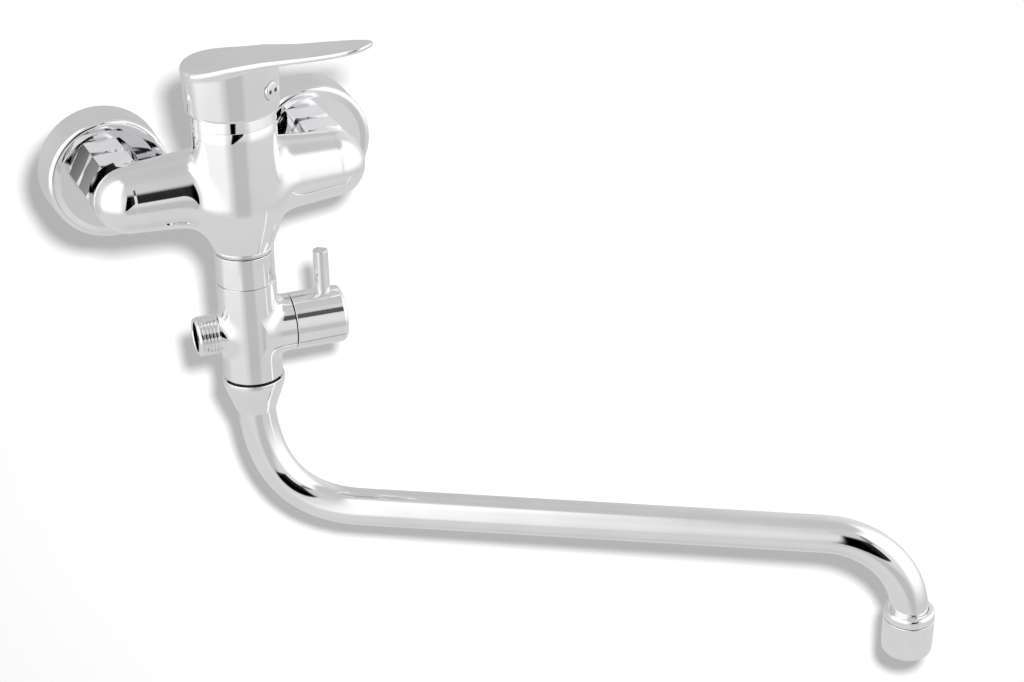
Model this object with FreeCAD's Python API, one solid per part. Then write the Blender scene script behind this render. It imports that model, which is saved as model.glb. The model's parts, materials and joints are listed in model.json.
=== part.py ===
"""Wall-mounted single-lever bath and shower mixer with a diverter and a long swivel spout.

Millimetres, +Z up. The wall is the plane y = 0 and the mixer stands off it towards -Y.
The origin lies on the wall, midway between the two wall outlets.
"""
import FreeCAD, Part
import math
import os

V = FreeCAD.Vector

# Installation
WALL_PITCH = 100.0          # centre distance of the two wall outlets
UNION_OFFSET = 5.0          # eccentricity of each union, turned outwards here
BODY_REACH = 62.0           # wall to the vertical axis of the barrel
ARM_REACH = 51.0            # wall to the axis of the two arms
UNION_INSERT = 13.0         # length of thread that screws into the wall

# Pipe threads, major radius and pitch
G12_RADIUS = 10.4775
G12_PITCH = 1.814
G34_RADIUS = 13.2205
G34_PITCH = 1.814
THREAD_DEPTH = 1.162
THREAD_GAP = 0.10           # radial gap between a male and a female thread
SLIDE_GAP = 0.10            # radial running gap of turning pieces
SEAT_GAP = 0.30             # gap where two finished faces almost meet

# Poses shown at rest
LEVER_TURN = 37.0           # lever swung from straight out towards +X
SPOUT_TURN = 57.6           # spout swung from straight out towards +X
CROSS_TURN = 4.5            # diverter cross axis, turned from +X towards -Y

# Escutcheons
ESC_BACK_RADIUS = 32.6
ESC_RIM_RADIUS = 31.6
ESC_DEPTH = 22.0
ESC_WALL = 1.2
ESC_ROUND = 3.0             # round of the front rim
ESC_DISH = 0.6              # how far the front face dips behind the rim

# Unions, nuts and tails, measured outwards from the wall
UNION_FLANGE_RADIUS = 12.0
UNION_FLANGE_END = 16.0
UNION_BEND_START = 12.0
UNION_END = 33.5
UNION_WALL_BORE = 7.5
UNION_NUT_BORE = 9.5
NUT_FLATS = 30.0
NUT_BACK = 22.4
NUT_LENGTH = 17.6
NUT_SHOULDER = 2.4
NUT_CLEARANCE = 0.8         # room round the nut's corners in the back of the arm
GASKET = 2.0
TAIL_FLANGE = 2.0
TAIL_RADIUS = 10.4
TAIL_THREAD = 9.0           # thread of the tail inside the arm
TAIL_BORE = 7.5

# Body casting
BARREL_RADIUS = 21.4
BARREL_TOP = 36.4
ARM_END_RADIUS = 17.3
ARM_ROOT_RADIUS = 21.4      # arm radius if drawn on to the middle plane
ARM_BORE = 7.5
ELBOW_INSET = 1.2           # the elbow ball sits this far inside the nut axis
LEG_RADIUS = 16.4
ARM_WATERWAY_GAP = 10.0     # metal between the hot and the cold waterway
CONE_TOP = -17.5
OUTLET_FACE = -31.0
OUTLET_RADIUS = 15.3
OUTLET_BORE = 9.0
STUB_LENGTH = 11.0          # threaded stub below the outlet face

# Mixing cartridge
SEAT = 10.0                 # floor of the cartridge cavity
CARTRIDGE_RADIUS = 17.5
CAVITY_GAP = 0.1
PORT_RADIUS = 3.5
PORT_SIDE = 9.0
PORT_BACK = 5.5
OUTLET_PORT_RADIUS = 4.5
OUTLET_PORT_FRONT = 8.0
BASE_HEIGHT = 4.4
SEAL_HEIGHT = 1.4
SEAL_RADIUS = 1.1
DISC_HEIGHT = 3.0
FIXED_DISC_RADIUS = 14.5
MOVING_DISC_RADIUS = 10.0
CARRIER_HEIGHT = 6.5
HOUSING_BORE = 14.7
HOUSING_SHOULDER = 33.0
HOUSING_TOP = 40.6
NECK_RADIUS = 13.6
NECK_BORE = 12.5
ROTOR_GAP = 0.2
ROTOR_TOP = 41.2
SLOT_WIDTH = 8.6
SLOT_LENGTH = 21.0
PIVOT_HEIGHT = 38.0
PIVOT_RADIUS = 1.5
PIVOT_LENGTH = 22.0
STEM_SIDE = 7.8
STEM_TOP = 60.0
STEM_ARM = 12.0             # pivot to the ball that drives the carrier
BALL_RADIUS = 3.0
BALL_GAP = 0.4
RETAINER_RADIUS = 19.0
RETAINER_TOP = 40.0
RETAINER_FLATS = 36.0

# Dome ring, a spherical cap about the lever's pivot
DOME_TOP = 45.0
DOME_WALL = 1.2
DOME_HOLE = 15.0

# Handle
SKIRT_BOTTOM = 42.6
SKIRT_LIP_RADIUS = 23.3
SKIRT_TOP_RADIUS = 24.4
SKIRT_TOP = 67.3
SKIRT_ROUND = 3.0
SKIRT_LIP_BORE = 22.0
SKIRT_BORE = 22.3
ROOF = 3.0
LEVER_REACH = 81.5          # axis to the lever's tip
LEVER_THICKNESS = 3.4
LEVER_RISE = 20.8           # height of the tip above the skirt's top
LEVER_ROOT_REACH = 28.0     # axis to the start of the even blade, seen from above
LEVER_HEEL = 6.0            # the blade starts to rise this far behind the handle's axis
LEVER_KNEE = 10.0           # axis to the start of the flatter blade, seen from the side
LEVER_KNEE_RISE = 4.1
LEVER_HIP = 6.0             # half length of the outline's straight stretch beside the axis
LEVER_WAIST = 20.0          # where the outline is halfway from skirt to blade
LEVER_INSET = 0.7           # the outline starts this far inside the skirt
LEVER_ROOT_HALF = 16.9
LEVER_TIP_HALF = 14.0
LEVER_CORNER = 9.0
BOSS_RADIUS = 7.6
BOSS_BOTTOM = 46.0
SCREW_HEIGHT = 55.6
SCREW_RADIUS = 2.5
SCREW_LENGTH = 6.0
PLUG_RADIUS = 4.8
PLUG_PROUD = 0.7
PLUG_DEPTH = 2.2
PLUG_ROUND = 0.8
MARK_RADIUS = 1.1
MARK_SPREAD = 2.2
MARK_DEPTH = 0.5

# Outlet ring, collar and diverter body
RING_HEIGHT = 2.2
RING_RADIUS = 15.5
JOINT_GAP = 0.2             # line between two stacked rings
COLLAR_RADIUS = 15.2
COLLAR_BOTTOM = -50.2
COLLAR_SHOULDER = -47.2
COLLAR_FLATS = 28.9
COLLAR_FLAT_HEIGHT = 8.5
FLANGE_RADIUS = 12.9
FLANGE_HEIGHT = 3.0
SPIGOT_RADIUS = 10.5
DIVERTER_RADIUS = 15.5
DIVERTER_BOTTOM = -104.2
DIVERTER_BORE = 8.5
CROSS_HEIGHT = -78.6
BOSS_FACE = 21.6            # face of the cartridge boss, along the cross axis
CROSS_BOSS_RADIUS = 15.0
HOSE_END = 29.0             # mouth of the hose outlet, along the cross axis
HOSE_THREAD = 12.0
HOSE_NECK_RADIUS = 9.3
HOSE_BORE = 7.9
LOWER_STUB = 5.6
SWIVEL_BORE = 10.7
SWIVEL_TOP = -93.5

# Diverter cartridge, along the cross axis
VALVE_RADIUS = 9.1
VALVE_SEAT = -9.5
VALVE_SEAL = 1.0
VALVE_DISC = 3.0
VALVE_DISC_RADIUS = 7.6
VALVE_WINDOW_RADIUS = 3.6
VALVE_WINDOW = 5.0
VALVE_SHOULDER = 14.5
SPINDLE_RADIUS = 4.0
SPINDLE_FLANGE = 2.5
SPINDLE_END = 36.0
GLAND_RADIUS = 10.9
GLAND_INSET = 2.0
GLAND_FLATS = 17.0
GLAND_HEAD = 3.5

# Knob
KNOB_GAP = 0.6
KNOB_RADIUS = 15.1
KNOB_END = 49.8
KNOB_ROUND = 2.4
KNOB_HUB = 5.8
KNOB_BORE = 12.0
KNOB_WEB = 32.0
PIN_PLACE = 40.0
PIN_RADIUS = 4.0
PIN_RISE = 22.8
PIN_DEPTH = 3.6             # how far the pin reaches in above the cross axis

# Spout nut and swivel
SPOUT_NUT_RADIUS = 16.4
SPOUT_NUT_RIM = 3.0
SPOUT_NUT_FOOT = 10.9
SPOUT_NUT_HEIGHT = 17.9
SWIVEL_FLANGE_RADIUS = 11.8
SWIVEL_FLANGE = 1.8
SLIDE_RING = 1.2
INSERT_RADIUS = 10.55
INSERT_BORE = 8.0
INSERT_SPIGOT = 9.0
ORING_SECTION = 0.9

# Spout
TUBE_RADIUS = 10.0
TUBE_WALL = 1.0
SPOUT_DROP = -184.0         # height of the straight run
SPOUT_REACH = 350.0         # barrel axis to aerator axis
FIRST_BEND = 52.0
LAST_BEND = 45.0
SPOUT_END_LAP = 2.4         # how far the spout end reaches up round the last bend
SPOUT_SOCKET = 3.4          # how far the tube reaches into its end
SPOUT_END_RADIUS = 13.5
SPOUT_END_HEIGHT = 5.6
M22_RADIUS = 11.0
SPOUT_END_STUB = 8.0
AERATOR_RADIUS = 13.6
AERATOR_HEIGHT = 27.4       # top of the spout end to the aerator's foot
AERATOR_ROUND = 4.0
AERATOR_LIP_BORE = 9.0
AERATOR_LIP = 1.6
AERATOR_GASKET = 1.6
AERATOR_HOLES = 6
AERATOR_HOLE_RADIUS = 1.15
AERATOR_RINGS = (2.9, 6.2)

NUT_AXIS = WALL_PITCH / 2 + UNION_OFFSET
BODY_MIDDLE = V(0, -BODY_REACH, 0)
TAIL_FLANGE_END = UNION_END + GASKET + TAIL_FLANGE
NUT_FRONT = NUT_BACK + NUT_LENGTH
LEG_END = NUT_FRONT + SEAT_GAP
TAIL_END = LEG_END + TAIL_THREAD
STUB_END = OUTLET_FACE - STUB_LENGTH
FLANGE_TOP = STUB_END - GASKET
DISC_FLOOR = SEAT + BASE_HEIGHT + 0.6
MOVING_FLOOR = DISC_FLOOR + DISC_HEIGHT
CARRIER_FLOOR = MOVING_FLOOR + DISC_HEIGHT
LOWER_STUB_END = DIVERTER_BOTTOM - LOWER_STUB
SPOUT_NUT_TOP = DIVERTER_BOTTOM - 0.9
SPOUT_NUT_BOTTOM = SPOUT_NUT_TOP - SPOUT_NUT_HEIGHT
SWIVEL_TOP_FLANGE = LOWER_STUB_END - JOINT_GAP
SLIDE_RING_TOP = SWIVEL_TOP_FLANGE - SWIVEL_FLANGE
SLIDE_RING_BOTTOM = SLIDE_RING_TOP - SLIDE_RING
SPOUT_END_TOP = SPOUT_DROP - LAST_BEND + SPOUT_END_LAP
SPOUT_END_BOTTOM = SPOUT_END_TOP - SPOUT_END_HEIGHT
AERATOR_BOTTOM = SPOUT_END_TOP - AERATOR_HEIGHT
SPOUT_STUB_BOTTOM = SPOUT_END_BOTTOM - SPOUT_END_STUB


def cylinder(radius, low, high, x=0.0, y=0.0):
    """A vertical cylinder between two heights."""
    return Part.makeCylinder(radius, high - low, V(x, y, low))


def ring(outer, inner, low, high):
    """A vertical ring between two heights."""
    return cylinder(outer, low, high).cut(cylinder(inner, low - 1, high + 1))


def lathe(points):
    """Turn a closed outline of (radius, height) points about Z.

    A point with four numbers ends an arc: (radius, height, middle radius, middle height).
    """
    edges = []
    ends = points + points[:1]
    for start, end in zip(ends, ends[1:]):
        first = V(start[0], 0, start[1])
        last = V(end[0], 0, end[1])
        if len(end) == 4:
            edges.append(Part.Arc(first, V(end[2], 0, end[3]), last).toShape())
        else:
            edges.append(Part.makeLine(first, last))
    face = Part.Face(Part.Wire(edges))
    return face.revolve(V(0, 0, 0), V(0, 0, 1), 360)


def prism(flats, sides, low, high):
    """A regular prism with this width across its flats."""
    corner = flats / 2 / math.cos(math.pi / sides)
    turns = [2 * math.pi * (i + 0.5) / sides for i in range(sides + 1)]
    wire = Part.makePolygon([V(corner * math.cos(t), corner * math.sin(t), low) for t in turns])
    return Part.Face(wire).extrude(V(0, 0, high - low))


def chamfered_nut(flats, sides, low, high, corner_cut=1.2):
    """A prism whose corners are turned off at both ends."""
    half = flats / 2
    corner = half / math.cos(math.pi / sides) + 0.01
    turned = lathe([(0, low), (half - 0.2, low), (corner, low + corner_cut),
                    (corner, high - corner_cut), (half - 0.2, high), (0, high)])
    return prism(flats, sides, low, high).common(turned)


def threaded_rod(radius, pitch, low, high):
    """A rod with one V groove per pitch and a land of a quarter pitch between them."""
    land = pitch / 4
    count = int((high - low - land) / pitch)
    start = (low + high - count * pitch - land) / 2
    points = [(0, low), (radius, low)]
    for i in range(count):
        foot = start + land + i * pitch
        points += [(radius, foot), (radius - THREAD_DEPTH, foot + (pitch - land) / 2),
                   (radius, foot + pitch - land)]
    points += [(radius, high), (0, high)]
    return lathe(points)


def off_wall(shape, x):
    """Lay a Z piece along the wall's normal, with its heights as distances from the wall."""
    shape.rotate(V(0, 0, 0), V(1, 0, 0), 90)
    shape.translate(V(x, 0, 0))
    return shape


def on_barrel(shape, turn=0.0):
    """Stand a piece on the barrel's axis, turned from straight out towards +X."""
    shape.rotate(V(0, 0, 0), V(0, 0, 1), turn)
    shape.translate(BODY_MIDDLE)
    return shape


def on_cross(shape):
    """Lay a Z piece along the diverter's cross axis, with its heights as distances along it."""
    shape.rotate(V(0, 0, 0), V(0, 1, 0), 90)
    shape.rotate(V(0, 0, 0), V(0, 0, 1), -CROSS_TURN)
    shape.translate(BODY_MIDDLE + V(0, 0, CROSS_HEIGHT))
    return shape


def save(name, shape):
    """Write one sub-part and say what it holds."""
    shape.exportStep("parts/" + name + ".step")
    print(name, "solids", len(shape.Solids), "valid", shape.isValid(), "mm3", round(shape.Volume, 1))


def escutcheon():
    """The cup that hides the hole in the tiles, its front face a little dished."""
    face = ESC_DEPTH - ESC_DISH
    hole = G34_RADIUS + 4 * THREAD_GAP
    shoulder = ESC_DEPTH - ESC_ROUND
    bend = ESC_ROUND * (1 - math.sqrt(0.5))
    crest = ESC_RIM_RADIUS - ESC_ROUND
    inner = ESC_RIM_RADIUS - ESC_WALL
    return lathe([
        (ESC_BACK_RADIUS - ESC_WALL, 0),
        (ESC_BACK_RADIUS, 0),
        (ESC_RIM_RADIUS, shoulder),
        (crest, ESC_DEPTH, ESC_RIM_RADIUS - bend, ESC_DEPTH - bend),
        (crest - 2 * ESC_WALL, face),
        (hole, face),
        (hole, face - ESC_WALL),
        (crest - ESC_WALL, face - ESC_WALL),
        (inner, shoulder - ESC_WALL),
    ])


def eccentric_union(side):
    """Male thread for the wall, an offset bend, and the male thread for the union nut."""
    wall_axis = side * WALL_PITCH / 2
    nut_axis = side * NUT_AXIS
    inlet = off_wall(threaded_rod(G12_RADIUS, G12_PITCH, -UNION_INSERT, 0.0), wall_axis)
    flange = off_wall(cylinder(UNION_FLANGE_RADIUS, 0, UNION_FLANGE_END), wall_axis)
    bend = off_wall(cylinder(G34_RADIUS, UNION_BEND_START, NUT_BACK), nut_axis)
    outlet = off_wall(threaded_rod(G34_RADIUS, G34_PITCH, NUT_BACK, UNION_END), nut_axis)
    solid = inlet.fuse([flange, bend, outlet]).removeSplitter()
    wall_bore = off_wall(cylinder(UNION_WALL_BORE, -UNION_INSERT - 1, UNION_FLANGE_END), wall_axis)
    nut_bore = off_wall(cylinder(UNION_NUT_BORE, UNION_FLANGE_END - 2, UNION_END + 1), nut_axis)
    return solid.cut(wall_bore.fuse(nut_bore))


def inlet_nut(side):
    """The hexagon nut that draws the body on to the union."""
    nut = chamfered_nut(NUT_FLATS, 6, NUT_BACK, NUT_FRONT)
    thread = cylinder(G34_RADIUS + THREAD_GAP, NUT_BACK - 1, NUT_FRONT - NUT_SHOULDER)
    hole = cylinder(TAIL_RADIUS + SEAT_GAP, NUT_BACK, NUT_FRONT + 1)
    return off_wall(nut.cut(thread).cut(hole), side * NUT_AXIS)


def inlet_gasket(side):
    """The flat washer between the union and the tail."""
    washer = ring(FLANGE_RADIUS, UNION_NUT_BORE, UNION_END, UNION_END + GASKET)
    return off_wall(washer, side * NUT_AXIS)


def inlet_tail(side):
    """The flanged tail that carries the nut and screws into the arm."""
    flange = cylinder(FLANGE_RADIUS, UNION_END + GASKET, TAIL_FLANGE_END)
    neck = cylinder(TAIL_RADIUS, TAIL_FLANGE_END, TAIL_END)
    bore = cylinder(TAIL_BORE, UNION_END, TAIL_END + 1)
    return off_wall(flange.fuse(neck).removeSplitter().cut(bore), side * NUT_AXIS)


def arm(side):
    """One arm with its rounded elbow and the leg that faces the wall."""
    ball_x = side * (NUT_AXIS - ELBOW_INSET)
    cone = Part.makeCone(ARM_ROOT_RADIUS, ARM_END_RADIUS, NUT_AXIS - ELBOW_INSET)
    cone.rotate(V(0, 0, 0), V(0, 1, 0), side * 90)
    cone.translate(V(0, -ARM_REACH, 0))
    ball = Part.makeSphere(ARM_END_RADIUS, V(ball_x, -ARM_REACH, 0))
    leg = off_wall(cylinder(LEG_RADIUS, LEG_END, ARM_REACH), side * NUT_AXIS)
    return [cone, ball, leg]


def nut_space(side):
    """The room that the arm's back leaves for the union nut to turn in."""
    corner = NUT_FLATS / 2 / math.cos(math.pi / 6)
    return off_wall(cylinder(corner + NUT_CLEARANCE, 0, LEG_END), side * NUT_AXIS)


def arm_waterway(side):
    """The bore of one arm, from the tail's thread to the port under the cartridge."""
    start = V(side * ARM_WATERWAY_GAP / 2, -ARM_REACH, 0)
    length = NUT_AXIS - ARM_WATERWAY_GAP / 2
    along = Part.makeCylinder(ARM_BORE, length, start, V(side, 0, 0))
    turn = Part.makeSphere(ARM_BORE, V(side * NUT_AXIS, -ARM_REACH, 0))
    leg = off_wall(cylinder(ARM_BORE, LEG_END, ARM_REACH), side * NUT_AXIS)
    thread = off_wall(cylinder(TAIL_RADIUS, LEG_END - 1, TAIL_END), side * NUT_AXIS)
    port_y = -BODY_REACH + PORT_BACK
    port = cylinder(PORT_RADIUS, 0, SEAT + 1, side * PORT_SIDE, port_y)
    link_start = V(side * PORT_SIDE, port_y, 0)
    link = Part.makeCylinder(PORT_RADIUS, ARM_BORE, link_start, V(0, 1, 0))
    return [along, turn, leg, thread, port, link]


def mixer_body():
    """The one-piece casting: barrel, two arms and the threaded stub of the outlet."""
    thread_top = STUB_END + STUB_LENGTH - 1.6
    barrel = lathe([
        (0, OUTLET_FACE), (OUTLET_RADIUS, OUTLET_FACE),
        (BARREL_RADIUS - 0.9, CONE_TOP - 2.2),
        (BARREL_RADIUS, CONE_TOP + 2.0, BARREL_RADIUS - 0.25, CONE_TOP - 0.3),
        (BARREL_RADIUS, BARREL_TOP - 0.4), (BARREL_RADIUS - 0.4, BARREL_TOP), (0, BARREL_TOP)])
    stub = threaded_rod(G34_RADIUS, G34_PITCH, STUB_END, thread_top)
    relief = cylinder(G34_RADIUS - THREAD_DEPTH, thread_top, OUTLET_FACE)
    outside = on_barrel(barrel.fuse([stub, relief]))
    outside = outside.fuse(arm(-1) + arm(1)).removeSplitter()
    cavity = cylinder(CARTRIDGE_RADIUS + CAVITY_GAP, SEAT, BARREL_TOP + 1)
    nut_thread = cylinder(RETAINER_RADIUS + CAVITY_GAP, HOUSING_SHOULDER, BARREL_TOP + 1)
    port = cylinder(OUTLET_PORT_RADIUS, CONE_TOP, SEAT + 1, 0, -OUTLET_PORT_FRONT)
    outlet = cylinder(OUTLET_BORE, STUB_END - 1, CONE_TOP + 4)
    hollow = on_barrel(cavity.fuse([nut_thread, port, outlet]))
    outside = outside.cut(nut_space(-1)).cut(nut_space(1))
    return outside.cut(hollow.fuse(arm_waterway(-1) + arm_waterway(1)))


def port_places():
    """The three port centres on the cartridge's floor, with their radii."""
    return [(-PORT_SIDE, PORT_BACK, PORT_RADIUS), (PORT_SIDE, PORT_BACK, PORT_RADIUS),
            (0, -OUTLET_PORT_FRONT, OUTLET_PORT_RADIUS)]


def cartridge_base():
    """The plastic foot of the cartridge with its three ports and seal grooves."""
    low = SEAT + 0.6
    base = cylinder(CARTRIDGE_RADIUS, low, DISC_FLOOR)
    for x, y, radius in port_places():
        base = base.cut(cylinder(radius, low - 1, DISC_FLOOR + 1, x, y))
        groove = cylinder(radius + SEAL_RADIUS + 0.9, low - 1, SEAT + SEAL_HEIGHT, x, y)
        base = base.cut(groove)
    return on_barrel(base)


def cartridge_seals():
    """The three rubber rings between the cartridge and the floor of the cavity."""
    seals = []
    for x, y, radius in port_places():
        outside = cylinder(radius + SEAL_RADIUS + 0.4, SEAT, SEAT + SEAL_HEIGHT, x, y)
        seals.append(outside.cut(cylinder(radius, SEAT - 1, SEAT + SEAL_HEIGHT + 1, x, y)))
    return on_barrel(Part.makeCompound(seals))


def fixed_disc():
    """The ceramic disc that stays still, pierced by the three ports."""
    disc = cylinder(FIXED_DISC_RADIUS, DISC_FLOOR, MOVING_FLOOR)
    for x, y, radius in port_places():
        hole = cylinder(radius - 0.5, DISC_FLOOR - 1, MOVING_FLOOR + 1, 0.78 * x, 0.78 * y)
        disc = disc.cut(hole)
    return on_barrel(disc)


def moving_disc():
    """The ceramic disc that slides and turns, with its mixing chamber underneath."""
    disc = cylinder(MOVING_DISC_RADIUS, MOVING_FLOOR, CARRIER_FLOOR)
    chamber = cylinder(0.62 * MOVING_DISC_RADIUS, MOVING_FLOOR - 1, MOVING_FLOOR + DISC_HEIGHT / 2)
    return on_barrel(disc.cut(chamber), LEVER_TURN)


def disc_carrier():
    """The plastic carrier on the moving disc, with the pocket for the stem's ball."""
    top = CARRIER_FLOOR + CARRIER_HEIGHT
    carrier = cylinder(MOVING_DISC_RADIUS, CARRIER_FLOOR, top)
    pocket = cylinder(BALL_RADIUS + BALL_GAP, CARRIER_FLOOR + 1, top + 1)
    return on_barrel(carrier.cut(pocket), LEVER_TURN)


def cartridge_rotor():
    """The slotted swing piece that holds the stem's pivot."""
    low = CARRIER_FLOOR + CARRIER_HEIGHT + ROTOR_GAP
    wide = cylinder(HOUSING_BORE - ROTOR_GAP, low, HOUSING_SHOULDER - 0.4)
    neck = cylinder(NECK_BORE - SLIDE_GAP, low, ROTOR_TOP)
    slot = Part.makeBox(SLOT_WIDTH, SLOT_LENGTH, 40, V(-SLOT_WIDTH / 2, -SLOT_LENGTH / 2, low - 1))
    pin = Part.makeCylinder(PIVOT_RADIUS, PIVOT_LENGTH, V(-PIVOT_LENGTH / 2, 0, PIVOT_HEIGHT), V(1, 0, 0))
    return on_barrel(wide.fuse(neck).removeSplitter().cut(slot).cut(pin), LEVER_TURN)


def pivot_pin():
    """The steel pin that the stem rocks on."""
    start = V(-PIVOT_LENGTH / 2, 0, PIVOT_HEIGHT)
    return on_barrel(Part.makeCylinder(PIVOT_RADIUS, PIVOT_LENGTH, start, V(1, 0, 0)), LEVER_TURN)


def cartridge_stem():
    """The square stem with its pivot hole and the ball at its lower end."""
    half = STEM_SIDE / 2
    block_low = PIVOT_HEIGHT - 4.5
    ball_height = PIVOT_HEIGHT - STEM_ARM
    stem = Part.makeBox(STEM_SIDE, STEM_SIDE, STEM_TOP - block_low, V(-half, -half, block_low))
    leg = cylinder(BALL_RADIUS - 0.7, ball_height, block_low)
    ball = Part.makeSphere(BALL_RADIUS, V(0, 0, ball_height))
    start = V(-STEM_SIDE, 0, PIVOT_HEIGHT)
    hole = Part.makeCylinder(PIVOT_RADIUS + SLIDE_GAP, 2 * STEM_SIDE, start, V(1, 0, 0))
    return on_barrel(stem.fuse([leg, ball]).removeSplitter().cut(hole), LEVER_TURN)


def cartridge_housing():
    """The shell of the cartridge, with the shoulder that the retaining nut presses on."""
    return on_barrel(lathe([
        (HOUSING_BORE, DISC_FLOOR), (CARTRIDGE_RADIUS, DISC_FLOOR),
        (CARTRIDGE_RADIUS, HOUSING_SHOULDER), (NECK_RADIUS, HOUSING_SHOULDER + 1.6),
        (NECK_RADIUS, HOUSING_TOP), (NECK_BORE, HOUSING_TOP),
        (NECK_BORE, HOUSING_SHOULDER - 0.2), (HOUSING_BORE, HOUSING_SHOULDER - 0.2)]))


def cartridge_nut():
    """The retaining nut, threaded below and hexagonal above."""
    thread = cylinder(RETAINER_RADIUS, HOUSING_SHOULDER + 1.6, BARREL_TOP)
    head = prism(RETAINER_FLATS, 12, BARREL_TOP, RETAINER_TOP)
    hole = cylinder(NECK_RADIUS + CAVITY_GAP, HOUSING_SHOULDER, RETAINER_TOP + 1)
    return on_barrel(thread.fuse(head).removeSplitter().cut(hole))


def dome_ring():
    """The chromed cap between barrel and handle, round about the lever's pivot."""
    def cap(radius, height):
        return math.sqrt(radius ** 2 - (height - PIVOT_HEIGHT) ** 2)
    low = BARREL_TOP + JOINT_GAP
    outer = BARREL_RADIUS
    inner = outer - DOME_WALL
    middle = (PIVOT_HEIGHT + DOME_TOP) / 2
    under = DOME_TOP - DOME_WALL
    inner_middle = (PIVOT_HEIGHT + under) / 2
    return on_barrel(lathe([
        (inner, low), (outer, low), (outer, PIVOT_HEIGHT),
        (cap(outer, DOME_TOP), DOME_TOP, cap(outer, middle), middle),
        (DOME_HOLE, DOME_TOP), (DOME_HOLE, under), (cap(inner, under), under),
        (inner, PIVOT_HEIGHT, cap(inner, inner_middle), inner_middle)]))


def lever_line(offset):
    """The lever's side profile: rising from behind the axis, nearly straight to the tip."""
    top = SKIRT_TOP - offset
    places = [(LEVER_HEEL, 0.0), (-LEVER_KNEE, LEVER_KNEE_RISE),
              (-(LEVER_KNEE + LEVER_REACH) / 2, (LEVER_KNEE_RISE + LEVER_RISE) / 2),
              (-LEVER_REACH - 1, LEVER_RISE)]
    curve = Part.BSplineCurve()
    curve.interpolate([V(0, y, top + rise) for y, rise in places])
    return curve.toShape()


def lever_outline():
    """The lever seen from above, from inside the skirt to its rounded tip."""
    tip_y = -LEVER_REACH
    corner_y = tip_y + LEVER_CORNER
    corner_x = LEVER_TIP_HALF - LEVER_CORNER
    bulge = LEVER_CORNER * math.sqrt(0.5)
    hip_x = SKIRT_TOP_RADIUS - LEVER_INSET
    back = Part.makeLine(V(-hip_x, LEVER_HIP, 0), V(hip_x, LEVER_HIP, 0))
    edges = [back, Part.makeLine(V(-corner_x, tip_y, 0), V(corner_x, tip_y, 0))]
    for side in (1, -1):
        back_corner = V(side * hip_x, LEVER_HIP, 0)
        hip = V(side * hip_x, -LEVER_HIP, 0)
        waist = V(side * (hip_x + LEVER_ROOT_HALF) / 2, -LEVER_WAIST, 0)
        root = V(side * LEVER_ROOT_HALF, -LEVER_ROOT_REACH - LEVER_HIP, 0)
        blade = V(side * LEVER_TIP_HALF, corner_y, 0)
        middle = V(side * (corner_x + bulge), corner_y - bulge, 0)
        tip = V(side * corner_x, tip_y, 0)
        shoulder = Part.BSplineCurve()
        shoulder.interpolate([hip, waist, root])
        edges += [Part.makeLine(back_corner, hip), shoulder.toShape(), Part.makeLine(root, blade),
                  Part.Arc(blade, middle, tip).toShape()]
    return Part.Face(Part.Wire(Part.__sortEdges__(edges)))


def lever_blade():
    """The paddle: its side profile and its outline drawn through each other."""
    top = lever_line(0.0)
    bottom = lever_line(LEVER_THICKNESS)
    ends = [Part.makeLine(top.valueAt(top.FirstParameter), bottom.valueAt(bottom.FirstParameter)),
            Part.makeLine(top.valueAt(top.LastParameter), bottom.valueAt(bottom.LastParameter))]
    side = Part.Face(Part.Wire(Part.__sortEdges__([top, bottom] + ends)))
    side.translate(V(-2 * SKIRT_TOP_RADIUS, 0, 0))
    plan = lever_outline()
    plan.translate(V(0, 0, SKIRT_BOTTOM))
    height = SKIRT_TOP + 2 * LEVER_RISE - SKIRT_BOTTOM
    return side.extrude(V(4 * SKIRT_TOP_RADIUS, 0, 0)).common(plan.extrude(V(0, 0, height)))


def handle():
    """Skirt, roof, stem socket and lever in one casting."""
    low = SKIRT_BOTTOM
    bend = SKIRT_ROUND * (1 - math.sqrt(0.5))
    roof = SKIRT_TOP - ROOF
    shell = lathe([
        (SKIRT_LIP_BORE, low), (SKIRT_LIP_RADIUS - 0.5, low),
        (SKIRT_LIP_RADIUS + 0.05, low + 1.6, SKIRT_LIP_RADIUS - 0.1, low + 0.6),
        (SKIRT_TOP_RADIUS, SKIRT_TOP - SKIRT_ROUND),
        (SKIRT_TOP_RADIUS - SKIRT_ROUND, SKIRT_TOP, SKIRT_TOP_RADIUS - bend, SKIRT_TOP - bend),
        (0, SKIRT_TOP), (0, roof), (SKIRT_BORE - 2, roof), (SKIRT_BORE, roof - 2)])
    boss = cylinder(BOSS_RADIUS, BOSS_BOTTOM, roof + 1)
    half = STEM_SIDE / 2 + SLIDE_GAP
    socket_depth = STEM_TOP + SEAT_GAP - BOSS_BOTTOM + 1
    socket = Part.makeBox(2 * half, 2 * half, socket_depth, V(-half, -half, BOSS_BOTTOM - 1))
    thread = Part.makeCylinder(SCREW_RADIUS, BOSS_RADIUS + 1, V(0, 0, SCREW_HEIGHT), V(0, -1, 0))
    window = Part.makeCylinder(PLUG_RADIUS - 0.5, SKIRT_TOP_RADIUS + 5, V(0, 0, SCREW_HEIGHT), V(0, -1, 0))
    window = window.cut(cylinder(BOSS_RADIUS + 1, BOSS_BOTTOM, SKIRT_TOP))
    seat_start = SKIRT_TOP_RADIUS + PLUG_PROUD - PLUG_DEPTH - 0.02
    seat = Part.makeCylinder(PLUG_RADIUS, 10, V(0, -seat_start, SCREW_HEIGHT), V(0, -1, 0))
    solid = shell.fuse([boss, lever_blade()]).removeSplitter()
    return on_barrel(solid.cut(socket).cut(thread).cut(window).cut(seat), LEVER_TURN)


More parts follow.
